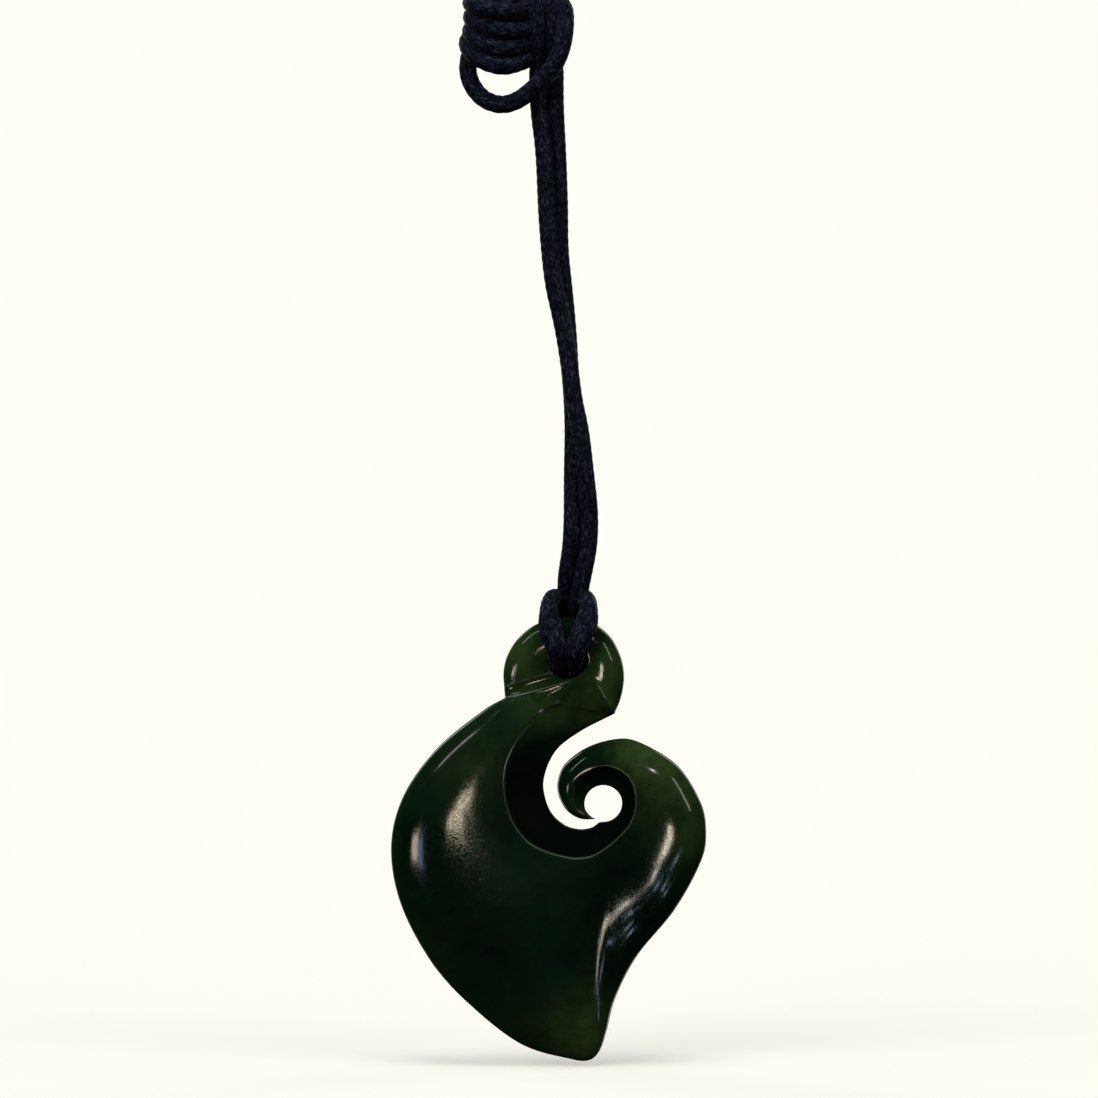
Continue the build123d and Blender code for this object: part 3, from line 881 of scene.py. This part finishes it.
        plan = rim[:, None] + (bound[:, [0, 2]] - rim)[:, None] * t[:, :, None]
        lowness = clipped(-np.sin(angle))[:, None, None] ** 2
        inward = (centre - rim)[:, None] / radius * self.waist * lowness
        plan[:, :self.wall_columns] += inward * np.array(self.waist_steps)[None, :, None]
        bow = np.where(np.arange(len(bound)) >= len(edge) + len(neck) // 2, -self.lap_bow, 0.0)
        bow[-len(cove):] = -self.lap_bow + (self.lap_bow + self.lobe_bow) * cove_t[:, 0]
        plan[..., 1] += bow[:, None] * 4 * t * (1 - t)
        face_first = self.wall_columns + self.rim_columns
        thick = face.copy()
        thick[:, :face_first] = face[:, face_first:face_first + 1]
        # Painted light: the head's thin places are painted lighter green, as light through the
        # stone.
        marks = {"thin": self.thinness(thick), **self.head_marks(t, neck, len(edge), len(cove))}
        points = np.stack([plan[..., 0], face, plan[..., 1]], axis=-1)
        return Patch(np.swapaxes(points, 0, 1), {name: mark.T for name, mark in marks.items()},
                     wrap=True)

    def head_marks(self, t: np.ndarray, neck: np.ndarray, edges: int,
                   coves: int) -> dict[str, np.ndarray]:
        """Marks the painted highlights on the head's two edges, the painted shade in its cove and
        where it eases into the neck.

        Args:
            t: Share of the way from the hole's rim to the bound, for each spoke and column.
            neck: The band's first row.
            edges: Number of spokes to the thin edge.
            coves: Number of spokes in the cove.

        Returns:
            The marks pale, groove, sanded and relax.
        """
        # Painted highlights on the lobe's edge and the line across the neck, and painted shade
        # in the cove.
        from_lap = np.linalg.norm(neck - neck[-1], axis=1)
        lap = clipped(1 - from_lap / self.painted_glint_width)
        line = np.concatenate([[0.6, 0.12], np.zeros(edges - 2), lap, [0.4],
                               np.zeros(coves - 2), [0.2]])
        cove = np.concatenate([np.zeros(edges + len(neck)), np.full(coves, 0.15)])
        ease = np.concatenate([np.zeros(edges - self.eased_spokes),
                               np.linspace(0, 1, self.eased_spokes),
                               self.relax_across()[self.top_of_wall:], np.zeros(coves)])
        # The hole's wall and most of its rounded rim get painted shade, and are dull.
        wall = np.where(np.arange(t.shape[1]) < self.wall_columns + self.rim_columns - 2, 0.8, 0.0)
        return {
            "pale": line[:, None] * clipped((1 - t) / 0.05) * clipped(t / 0.1),
            "groove": np.maximum(cove[:, None], wall[None, :]),
            "sanded": np.broadcast_to(wall, t.shape),
            "relax": (ease[:, None] * clipped((t - 0.1) / 0.6)) ** 2,
        }

    def painted_glow_share(self, places: np.ndarray) -> np.ndarray:
        """Adds up the painted glows, each a bell curve of the distance from its middle in plan.

        Args:
            places: The stone's points.

        Returns:
            How far each point's green is painted lighter, as light through the stone, from 0 to 1.
        """
        total = np.zeros(len(places))
        for glow in GLOWS.values():
            away = np.linalg.norm(places[:, [0, 2]] - self.on_plan((glow.x, glow.z)), axis=1)
            total += glow.strength * np.exp(-(away / (glow.reach * MM)) ** 2)
        return clipped(total)

    @staticmethod
    def split_finish(stone: bpy.types.Object) -> None:
        """Gives the sanded finish to the faces whose first corner is marked for it.

        Args:
            stone: The finished mesh, with the polished finish first and the sanded one second.
        """
        faces = stone.data.polygons
        starts = read(faces, "loop_start", kind=np.int32)
        corners = read(stone.data.loops, "vertex_index", kind=np.int32)
        sanded = read(stone.data.attributes["sanded"].data, "value")
        faces.foreach_set("material_index", (sanded[corners[starts]] > 0.5).astype(np.int32))

    def build(self) -> bpy.types.Object:
        """Builds the stone from both patches, mirrored to the back, and dresses it.

        Returns:
            The stone.
        """
        band = self.band()
        head = self.head_patch(band.points[0, self.top_of_wall:])
        parts, quads, first = [], [], 0
        marks: dict[str, list[np.ndarray]] = {name: [] for name in band.marks}
        for patch in (band, head):
            rows, columns = patch.points.shape[:2]
            for side in (FRONT, -FRONT):
                parts.append((patch.points * (1.0, side, 1.0)).reshape(-1, 3))
                quads.append(grid_quads(rows, columns, first, patch.wrap))
                first += rows * columns
                for name, values in patch.marks.items():
                    marks[name].append(np.broadcast_to(values, (rows, columns)).ravel())
        stone = mesh_object("carved_pendant", np.concatenate(parts), np.concatenate(quads))
        for name, values in marks.items():
            add_attribute(stone, name, np.concatenate(values))
        close_seams(stone)
        relax_depth(stone, "relax", self.relax_rounds)
        add_attribute(stone, "warm", self.painted_glow_share(points_of(stone.data)))
        for sanded in (False, True):
            stone.data.materials.append(self.finish.material(sanded))
        self.split_finish(stone)
        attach(stone, "root")
        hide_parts("pendant")
        return stone


def spline_points(route: Sequence[Sequence[float]]) -> np.ndarray:
    """Reads points along the NURBS line whose control points are a cord's route.

    Args:
        route: Places in millimetres.

    Returns:
        Closely spaced places in metres.
    """
    curve = bpy.data.curves.new("route", "CURVE")
    curve.dimensions = "3D"
    curve.resolution_u = 24
    spline = curve.splines.new("NURBS")
    spline.points.add(len(route) - 1)
    places = np.ones((len(route), 4))
    places[:, :3] = np.asarray(route) * MM
    spline.points.foreach_set("co", places.ravel())
    spline.order_u = 3
    spline.use_endpoint_u = True
    holder = bpy.data.objects.new("route", curve)
    mesh = bpy.data.meshes.new_from_object(holder)
    line = points_of(mesh)
    bpy.data.objects.remove(holder)
    bpy.data.curves.remove(curve)
    bpy.data.meshes.remove(mesh)
    return line


def even_steps(line: np.ndarray, step: float) -> tuple[np.ndarray, float]:
    """Spaces a line's points evenly along it.

    Args:
        line: Places along the line.
        step: The spacing wanted, in metres.

    Returns:
        The evenly spaced places, and the line's length.
    """
    travelled = np.concatenate([[0.0], np.cumsum(np.linalg.norm(np.diff(line, axis=0), axis=1))])
    count = max(2, int(round(travelled[-1] / step)) + 1)
    at = np.linspace(0, travelled[-1], count)
    return np.stack([np.interp(at, travelled, line[:, k]) for k in range(3)], axis=1), travelled[-1]


def unit(rows: np.ndarray) -> np.ndarray:
    """Scales each row to length 1."""
    return rows / np.linalg.norm(rows, axis=1)[:, None]


def untwisted_frame(line: np.ndarray) -> tuple[np.ndarray, np.ndarray]:
    """Finds two directions square to a line that don't twist along it.

    They start from the reference direction that the line least runs along, and the twist
    that this brings, added up from point to point, is turned back out.

    Args:
        line: Evenly spaced places.

    Returns:
        The two directions at each place.
    """
    tangent = unit(np.gradient(line, axis=0))
    tries = unit(np.array([(x, y, z) for x in (-1, 0, 1) for y in (-1, 0, 1) for z in (0, 1)
                           if (x, y, z) != (0, 0, 0)], dtype=float))
    reference = tries[np.argmin(np.abs(tangent @ tries.T).max(axis=0))]
    normal = unit(np.cross(tangent, reference))
    middle = unit(tangent[1:] + tangent[:-1])
    turned = np.arctan2((np.cross(normal[:-1], normal[1:]) * middle).sum(axis=1),
                        (normal[:-1] * normal[1:]).sum(axis=1))
    back = -np.concatenate([[0.0], np.cumsum(turned)])[:, None]
    side = np.cross(tangent, normal)
    return (normal * np.cos(back) + side * np.sin(back),
            side * np.cos(back) - normal * np.sin(back))


@dataclass
class BraidedCord:
    """Round cord of fine strands, twelve each way, that pass over two and under two.

    The relief is sunk by most of a strand's height, so that the cord keeps its diameter. The
    strands that lean the other way read their flecks from a shifted place.
    """

    diameter: float = 1.7 * MM
    strands_each_way: int = 12
    lean: float = 25.0
    strand_dome: float = 0.06 * MM
    strand_lift: float = 0.045 * MM
    sunk: float = 0.85
    fleck_shift: float = 0.37
    sides: int = 72
    step: float = 0.15 * MM
    finish: BraidedNylon = field(default_factory=BraidedNylon)

    def __post_init__(self) -> None:
        """Makes the one material that all the cord shares."""
        self.material = self.finish.material()

    def braid(self, around: np.ndarray, along: np.ndarray) -> tuple[np.ndarray, ...]:
        """Works out the braid's relief over the cord's surface.

        Each strand is a helix that leans one way or the other. Its height is a parabola
        across it, plus a wave along it that lifts it over two crossings and sinks it under
        the next two. The higher of the two strands at a place is the one that shows.

        Args:
            around: Angle round the cord.
            along: Distance along the cord.

        Returns:
            The relief, and the UV across and along the strand that shows.
        """
        radius = self.diameter / 2
        pitch = 2 * np.pi * radius / math.tan(math.radians(self.lean))
        turns = self.strands_each_way * around / (2 * np.pi)
        travel = self.strands_each_way * along / pitch
        a, b = turns + travel, turns - travel
        i, j = np.round(a), np.round(b)
        over_a = np.cos(np.pi / 2 * (b + i) - np.pi / 4)
        over_b = -np.cos(np.pi / 2 * (a + j) - np.pi / 4)
        high_a = self.strand_lift * over_a + self.strand_dome * (1 - (2 * (a - i)) ** 2)
        high_b = self.strand_lift * over_b + self.strand_dome * (1 - (2 * (b - j)) ** 2)
        shows_a = high_a > high_b
        sway = np.where(shows_a, -1.0, 1.0) * math.tan(math.radians(self.lean))
        across = np.where(shows_a, a, b) * 2 * np.pi * radius / self.strands_each_way
        run = along + sway * radius * around
        relief = np.maximum(high_a, high_b)
        return relief, across + np.where(shows_a, 0.0, self.fleck_shift), run

    def tube(self, line: np.ndarray, step: float, sides: int,
             press: Callable[[np.ndarray], np.ndarray] | None = None) -> tuple[np.ndarray, ...]:
        """Carries the braided round section along a line.

        Args:
            line: Places along the cord's middle.
            step: Spacing of the rings.
            sides: Points in a ring.
            press: Gives how much wider each ring is along x, y and z.

        Returns:
            The middle's places, the surface points, quads, relief and UV of each corner.
        """
        middle, length = even_steps(line, step)
        first, second = untwisted_frame(middle)
        around = np.linspace(0, 2 * np.pi, sides + 1)[None, :]
        along = np.linspace(0, length, len(middle))[:, None]
        relief, across, run = self.braid(around, along)
        radius = (self.diameter / 2 - self.sunk * self.strand_dome + relief)[:, :-1, None]
        ring = (np.cos(around)[:, :-1, None] * first[:, None]
                + np.sin(around)[:, :-1, None] * second[:, None])
        if press:
            ring *= press(middle)[:, None]
        points = (middle[:, None] + radius * ring).reshape(-1, 3)
        quads = grid_quads(len(middle), sides, wrap=True)
        uv = np.stack(np.broadcast_arrays(across, run), axis=-1)
        r, c = np.meshgrid(np.arange(len(middle) - 1), np.arange(sides), indexing="ij")
        corner_uv = np.stack([uv[r, c], uv[r + 1, c], uv[r + 1, c + 1], uv[r, c + 1]], axis=2)
        return middle, points, quads, relief[:, :-1].ravel(), corner_uv.reshape(-1, 2)

    @staticmethod
    def caps(rings: int, sides: int) -> np.ndarray:
        """Closes a tube's two ends with strips of quads across each end ring.

        Args:
            rings: Number of rings along the tube.
            sides: Points in a ring.

        Returns:
            Four point indices for each quad.
        """
        k = np.arange(sides // 2 - 1)
        near = np.stack([k, k + 1, sides - 2 - k, sides - 1 - k], axis=-1)
        far = near[:, ::-1] + (rings - 1) * sides
        return np.concatenate([near, far])

    def piece(self, name: str, lines: Sequence[np.ndarray], step: float | None = None,
              sides: int | None = None, press: Callable[[np.ndarray], np.ndarray] | None = None
              ) -> tuple[bpy.types.Object, np.ndarray]:
        """Makes one piece of cord from one or more lines.

        Args:
            name: The piece's name.
            lines: Places along each strand's middle.
            step: Spacing of the rings, the cord's own if left out.
            sides: Points in a ring, the cord's own if left out.
            press: Gives how much wider each ring is along x, y and z.

        Returns:
            The piece, and the middle of its first line.
        """
        step, sides = step or self.step, sides or self.sides
        points, quads, crests, uvs, middles, first = [], [], [], [], [], 0
        for line in lines:
            middle, spots, faces, crest, uv = self.tube(line, step, sides, press)
            caps = self.caps(len(middle), sides)
            points.append(spots)
            quads += [faces + first, caps + first]
            crests.append(crest)
            uvs += [uv, np.zeros((caps.size, 2))]
            middles.append(middle)
            first += len(spots)
        made = mesh_object(name, np.concatenate(points), np.concatenate(quads))
        low, high = -self.strand_lift, self.strand_lift + self.strand_dome
        crest = (np.concatenate(crests) - low) / (high - low)
        add_attribute(made, "crest", clipped(crest))
        layer = made.data.uv_layers.new(name="along_float")
        layer.data.foreach_set("uv", np.concatenate(uvs).astype(np.float32).ravel())
        made.data.materials.append(self.material)
        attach(made, "root")
        return made, middles[0]


@dataclass
class NeckCord:
    """All the cord: the two round the neck, the drop to the stone, the knot and its loop."""

    cord: BraidedCord = field(default_factory=BraidedCord)
    knot_top: float = -115.8
    knot_middle: float = -3.2
    lowest_turn: float = -124.5
    coarse_step: float = 0.17 * MM
    pressed_at: float = -180.2 * MM
    pressed_reach: float = 2.0 * MM
    pressed_from: float = 1.05 * MM
    pressed_over: float = 1.5 * MM
    pressed_wider: tuple[float, float, float] = (0.36, -0.14, 0.0)

    def knot_routes(self) -> list[Sequence[Sequence[float]]]:
        """Lists the knot's strands: its turns, the legs' tops and the neck cords' ends.

        Each turn is the one turn's points, widened about the knot's middle, swayed and raised.

        Returns:
            The routes in millimetres, the turns first and the tucked end last.
        """
        turns, points = len(KNOT_TURNS) - 1, len(KNOT_TURN)
        passed = np.arange(turns * points) / points
        rise, sway, wide, lean = (np.interp(passed, np.arange(turns + 1), column)
                                  for column in KNOT_TURNS.T)
        x, y, lift = np.tile(KNOT_TURN, (turns, 1)).T
        wraps = np.stack([self.knot_middle + (x - self.knot_middle) * wide + sway, y,
                          self.lowest_turn + rise + lift * lean], axis=-1)
        legs = [[(x, *spot) for x, spot in zip(row, LEG_TOP)] for row in LEG_TOP_X]
        necks = [[(route[0][0], 0.0, self.knot_top), (route[0][0], 0.0, -119.5),
                  (route[0][0] - 0.7, 0.0, -123.0)] for route in (LEFT_NECK, RIGHT_NECK)]
        return [wraps, *legs, *necks, TUCKED_END]

    def press(self, middle: np.ndarray) -> np.ndarray:
        """Flattens the bight where it lies on the head's face, by a bell curve of height.

        It sets in between two distances in front of the stone's middle, so that only the cord
        on the face is pressed.

        Args:
            middle: Places along the cord's middle.

        Returns:
            How much wider each ring is along x, y and z.
        """
        share = np.exp(-((middle[:, 2] - self.pressed_at) / self.pressed_reach) ** 2)
        share *= clipped((-middle[:, 1] - self.pressed_from) / self.pressed_over)
        return 1 + share[:, None] * self.pressed_wider

    def build(self, clasp: bpy.types.Object) -> list[bpy.types.Object]:
        """Builds every piece of cord.

        Args:
            clasp: The closure that the neck cords end in.

        Returns:
            The pieces.
        """
        cord = self.cord
        knot, _ = cord.piece("gathering_knot", [spline_points(r) for r in self.knot_routes()],
                             step=self.coarse_step, sides=60)
        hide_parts("cord_knot")
        loop, _ = cord.piece("slack_loop", [spline_points(SLACK_LOOP)])
        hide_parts("cord_slack_loop")
        drop_route = LEFT_LEG + HITCH + RIGHT_LEG[::-1]
        drop, middle = cord.piece("drop_cord", [spline_points(drop_route)], press=self.press)
        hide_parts("cord_leg_left", "cord_hitch", "cord_leg_right")
        pieces = [knot, loop, drop]
        necks = ((LEFT_NECK, "left", FarEnd.CLASP, [clasp]), (RIGHT_NECK, "right", FarEnd.KNOT, []))
        for route, side, far_end, on_it in necks:
            made, middle = cord.piece(f"neck_{side}", [spline_points(route)],
                                      step=self.coarse_step, sides=56)
            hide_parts(f"neck_cord_{side}")
            pieces.append(made)
        return pieces


@dataclass
class BarrelClasp:
    """A turned barrel that closes the neck cord, with a collar at each end and a seam."""

    sides: int = 96
    collar: float = 3.0 * MM
    waist: float = 0.4 * MM
    edge: float = 0.35 * MM
    seam: float = 0.18 * MM
    chamfer: float = 0.1 * MM
    bore: float = 0.9 * MM
    bore_depth: float = 0.3 * MM
    crisp_angle: float = 35.0
    finish: TurnedSteel = field(default_factory=TurnedSteel)

    def build(self) -> bpy.types.Object:
        """Turns the profile, radius by place along X, about the clasp's own axis.

        Returns:
            The clasp.
        """
        low, high = (np.array(corner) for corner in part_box("barrel_clasp"))
        full, half = (high[2] - low[2]) / 2, (high[0] - low[0]) / 2
        turn = np.linspace(0, np.pi / 2, 6)
        corner = [(half - self.edge * (1 - math.sin(t)), full - self.edge * (1 - math.cos(t)))
                  for t in turn[::-1]]
        right = [(self.seam / 2, full - self.waist - self.seam), (self.seam, full - self.waist),
                 (half - self.collar - self.chamfer, full - self.waist),
                 (half - self.collar, full - self.chamfer),
                 (half - self.collar + self.chamfer, full)]
        right += [*corner[::-1], (half, self.bore), (half - self.bore_depth, 0.0)]
        profile = [(-x, r) for x, r in right[::-1]] + right
        along, radius = np.array(profile).T
        angle = np.linspace(0, 2 * np.pi, self.sides, endpoint=False)
        points = np.stack(np.broadcast_arrays(
            along[:, None], radius[:, None] * np.cos(angle), radius[:, None] * np.sin(angle)),
            axis=-1) + (low + high) / 2
        clasp = mesh_object("turned_clasp", points.reshape(-1, 3),
                            grid_quads(len(profile), self.sides, wrap=True))
        close_seams(clasp)
        clasp.data.set_sharp_from_angle(angle=math.radians(self.crisp_angle))
        clasp.data.materials.append(self.finish.material())
        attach(clasp, "root")
        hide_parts("barrel_clasp")
        return clasp


@dataclass(frozen=True)
class Panel:
    """A flat soft lamp, placed by the direction in which the stone sees it.

    Azimuth counts from the camera's side towards the viewer's right, and elevation from
    level. Its width and height are angles, and its glow is its radiance.
    """

    azimuth: float
    elevation: float
    wide: float
    high: float
    glow: float
    tint: str = "#FFFFFF"
    role: Role = Role.IMAGE


@dataclass
class Studio:
    """Camera at the photo's level view, a pale floor under the tip and soft lamps."""

    distance: float = 500.0 * MM
    frame_width: float = 109.8 * MM
    aim: tuple[float, float] = (0.1 * MM, -171.9 * MM)
    sensor: float = 36.0
    lamp_distance: float = 900.0 * MM
    lamp_aim: tuple[float, float, float] = (0.0, 0.0, -200.0 * MM)
    paper: str = "#FFFEF5"
    room: float = 0.01
    floor_gap: float = 0.5 * MM
    floor_white: float = 0.62
    floor_sides: int = 96
    # Radius of the floor's first and last ring, and how many rings there are.
    floor_rings: tuple[float, float, int] = (0.02, 4.0, 50)
    panels: dict[str, Panel] = field(default_factory=lambda: {
        "overhead": Panel(0, 80, 26, 26, 7.5, role=Role.FILL),
        "fill_left": Panel(-38, 29, 36, 28, 4.2, role=Role.FILL),
        "fill_right": Panel(50, 29, 30, 28, 2.6, role=Role.FILL),
        "fill_back_left": Panel(-140, 29, 36, 28, 1.6, role=Role.FILL),
        "fill_back_right": Panel(130, 29, 30, 28, 1.4, role=Role.FILL),
        "back_left_strip": Panel(-152, 4, 9, 60, 1.6),
        "back_right_strip": Panel(150, 6, 9, 60, 1.6),
        "back_window": Panel(171, 12, 7, 6, 4.0, "#FFF0D2"),
        "lamp_over_viewer": Panel(-9.5, -0.6, 9, 2.6, 10.0, "#FFF0D2"),
        "lamp_beside_it": Panel(-14, -3.1, 9, 2.6, 10.0, "#FFF0D2"),
        "left_window": Panel(-47, -6, 8, 8, 7.0, "#FFF0D8"),
        "left_sky": Panel(-40, -8, 4, 8, 3.0, "#BCD4FF"),
        "right_strip": Panel(26, -7.5, 5, 11, 12.0, "#FFF2DA"),
        "right_strip_foot": Panel(25.5, -17, 3, 5, 9.0, "#F0ECE4"),
        "sky_dash_low": Panel(32, -22, 1.6, 2, 13.0, "#B8CCE8"),
        "sky_dash_near": Panel(41, -25, 2, 1.6, 13.0, "#B8CCE8"),
        "sky_dash_middle": Panel(40, -18, 2, 1.6, 13.0, "#B8CCE8"),
        "sky_dash_far": Panel(49, -29, 2, 1.6, 13.0, "#B8CCE8"),
        "small_lamp": Panel(30, 31, 4, 4, 16.0),
        "far_right_strip": Panel(62, 20, 4, 22, 4.0, "#FFF6E6"),
        "far_left_strip": Panel(-68, 43, 4, 22, 4.0),
    })

    def camera(self) -> None:
        """Sets the camera level and far enough to frame the drop as the photo does."""
        data = bpy.data.cameras.new("camera")
        data.sensor_width = self.sensor
        data.lens = self.sensor * self.distance / self.frame_width
        made = bpy.data.objects.new("camera", data)
        made.location = (self.aim[0], FRONT * self.distance, self.aim[1])
        made.rotation_euler = (math.pi / 2, 0.0, 0.0)
        bpy.context.scene.collection.objects.link(made)
        bpy.context.scene.camera = made

    def surroundings(self) -> None:
        """Gives the eye a pale paper ground and the stone a dim room to mirror."""
        world = bpy.data.worlds.new("room")
        bpy.context.scene.world = world
        world.use_nodes = True
        tree = world.node_tree
        tree.nodes.clear()
        seen = add_node(tree, "LightPath").outputs["Is Camera Ray"]
        colour = add_node(tree, "Mix", {"data_type": "RGBA", 6: (*[self.room] * 3, 1.0),
                                        7: linear(self.paper)}, {0: seen})
        ground = add_node(tree, "Background", {"Strength": 1.0}, {"Color": colour.outputs[2]})
        add_node(tree, "OutputWorld", links={"Surface": ground.outputs["Background"]})

    def axes(self, panel: Panel) -> np.ndarray:
        """Gives where a panel hangs and how it lies.

        Args:
            panel: The lamp.

        Returns:
            Its middle, its directions across and upwards, and the way from the stone to it.
        """
        turned, raised = math.radians(panel.azimuth), math.radians(panel.elevation)
        across = np.array((math.cos(turned), math.sin(turned), 0.0))
        away = np.array((math.sin(turned) * math.cos(raised),
                         -math.cos(turned) * math.cos(raised), math.sin(raised)))
        return np.stack([self.lamp_aim + self.lamp_distance * away, across,
                         np.cross(away, across), away])

    def sides(self, panel: Panel) -> list[float]:
        """Turns a panel's two angles to its width and height."""
        return [2 * self.lamp_distance * math.tan(math.radians(a / 2))
                for a in (panel.wide, panel.high)]

    def light_on(self, floor: np.ndarray, patches: int = 6) -> np.ndarray:
        """Works out how bright white paper on the floor is under the soft lamps.

        Each lamp is a grid of small patches. A patch brings its glow by its area, by the
        cosines at both ends, over the squared distance and pi.

        Args:
            floor: Places on the floor.
            patches: Patches along each side of a lamp.

        Returns:
            Brightness, where 1 is the ground's own white.
        """
        total = np.full(len(floor), self.room)
        steps = (np.arange(patches) + 0.5) / patches - 0.5
        for panel in self.panels.values():
            if panel.role is Role.FILL:
                middle, across, upward, away = self.axes(panel)
                wide, high = self.sides(panel)
                u, v = (grid.reshape(-1, 1) for grid in np.meshgrid(steps, steps))
                spots = middle + u * wide * across + v * high * upward
                ray = spots[None] - floor[:, None]
                far = np.linalg.norm(ray, axis=2)
                slants = np.clip(ray @ away, 0, None) * np.clip(ray[..., 2], 0, None)
                share = panel.glow * wide * high / patches**2 / math.pi
                total += share * (slants / far**4).sum(axis=1)
        return total

    def floor(self) -> None:
        """Lays a wide pale disc just under the stone's tip.

        It glows by as much as the lamps leave it short of the paper behind it, so it looks
        even, apart from the stone's soft shadow.
        """
        low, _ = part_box("pendant")
        angle = np.linspace(0, 2 * np.pi, self.floor_sides, endpoint=False)
        radius = np.concatenate([[0.01 * MM], np.geomspace(*self.floor_rings)])[:, None]
        points = np.stack(np.broadcast_arrays(radius * np.cos(angle), radius * np.sin(angle),
                                              low[2] - self.floor_gap), axis=-1).reshape(-1, 3)
        floor = mesh_object("floor", points, grid_quads(len(radius), self.floor_sides, wrap=True))
        add_attribute(floor, "own_glow", 1 - self.floor_white * self.light_on(points))
        paper = new_material("pale_paper")
        tree = paper.node_tree
        glow = add_node(tree, "Attribute", {"attribute_name": "own_glow"}).outputs["Fac"]
        white = linear(self.paper)
        shader = add_node(tree, "BsdfPrincipled",
                          {"Base Color": (*[c * self.floor_white for c in white[:3]], 1.0),
                           "Roughness": 1.0, "Specular IOR Level": 0.0,
                           "Emission Color": white}, {"Emission Strength": glow})
        add_node(tree, "OutputMaterial", links={"Surface": shader.outputs["BSDF"]})
        floor.data.materials.append(paper)
        floor.visible_glossy = False
        floor.visible_diffuse = False

    def lamps(self) -> None:
        """Hangs the panels round the stone. A lamp's power is its radiance, by pi, by area."""
        for name, panel in self.panels.items():
            data = bpy.data.lights.new(name, "AREA")
            data.shape = "RECTANGLE"
            data.size, data.size_y = self.sides(panel)
            data.energy = panel.glow * math.pi * data.size * data.size_y
            data.color = linear(panel.tint)[:3]
            made = bpy.data.objects.new(name, data)
            made.location = self.axes(panel)[0]
            made.rotation_euler = (math.radians(90 - panel.elevation), 0.0,
                                   math.radians(panel.azimuth))
            made.visible_camera = False
            made.visible_glossy = panel.role is Role.IMAGE
            made.visible_diffuse = panel.role is Role.FILL
            bpy.context.scene.collection.objects.link(made)

    def build(self) -> None:
        """Builds the camera, ground and lamps."""
        self.camera()
        self.surroundings()
        self.floor()
        self.lamps()
        bpy.context.scene.view_settings.view_transform = "Standard"


def main() -> None:
    """Builds the studio and every piece in order, and reports each."""
    logging.basicConfig(level=logging.INFO)
    Studio().build()
    clasp = BarrelClasp().build()
    pieces = [clasp, *NeckCord().build(clasp), CarvedStone().build()]
    for piece in pieces:
        LOG.info("%s has %d faces", piece.name, len(piece.data.polygons))


if __name__ == "__main__":
    main()
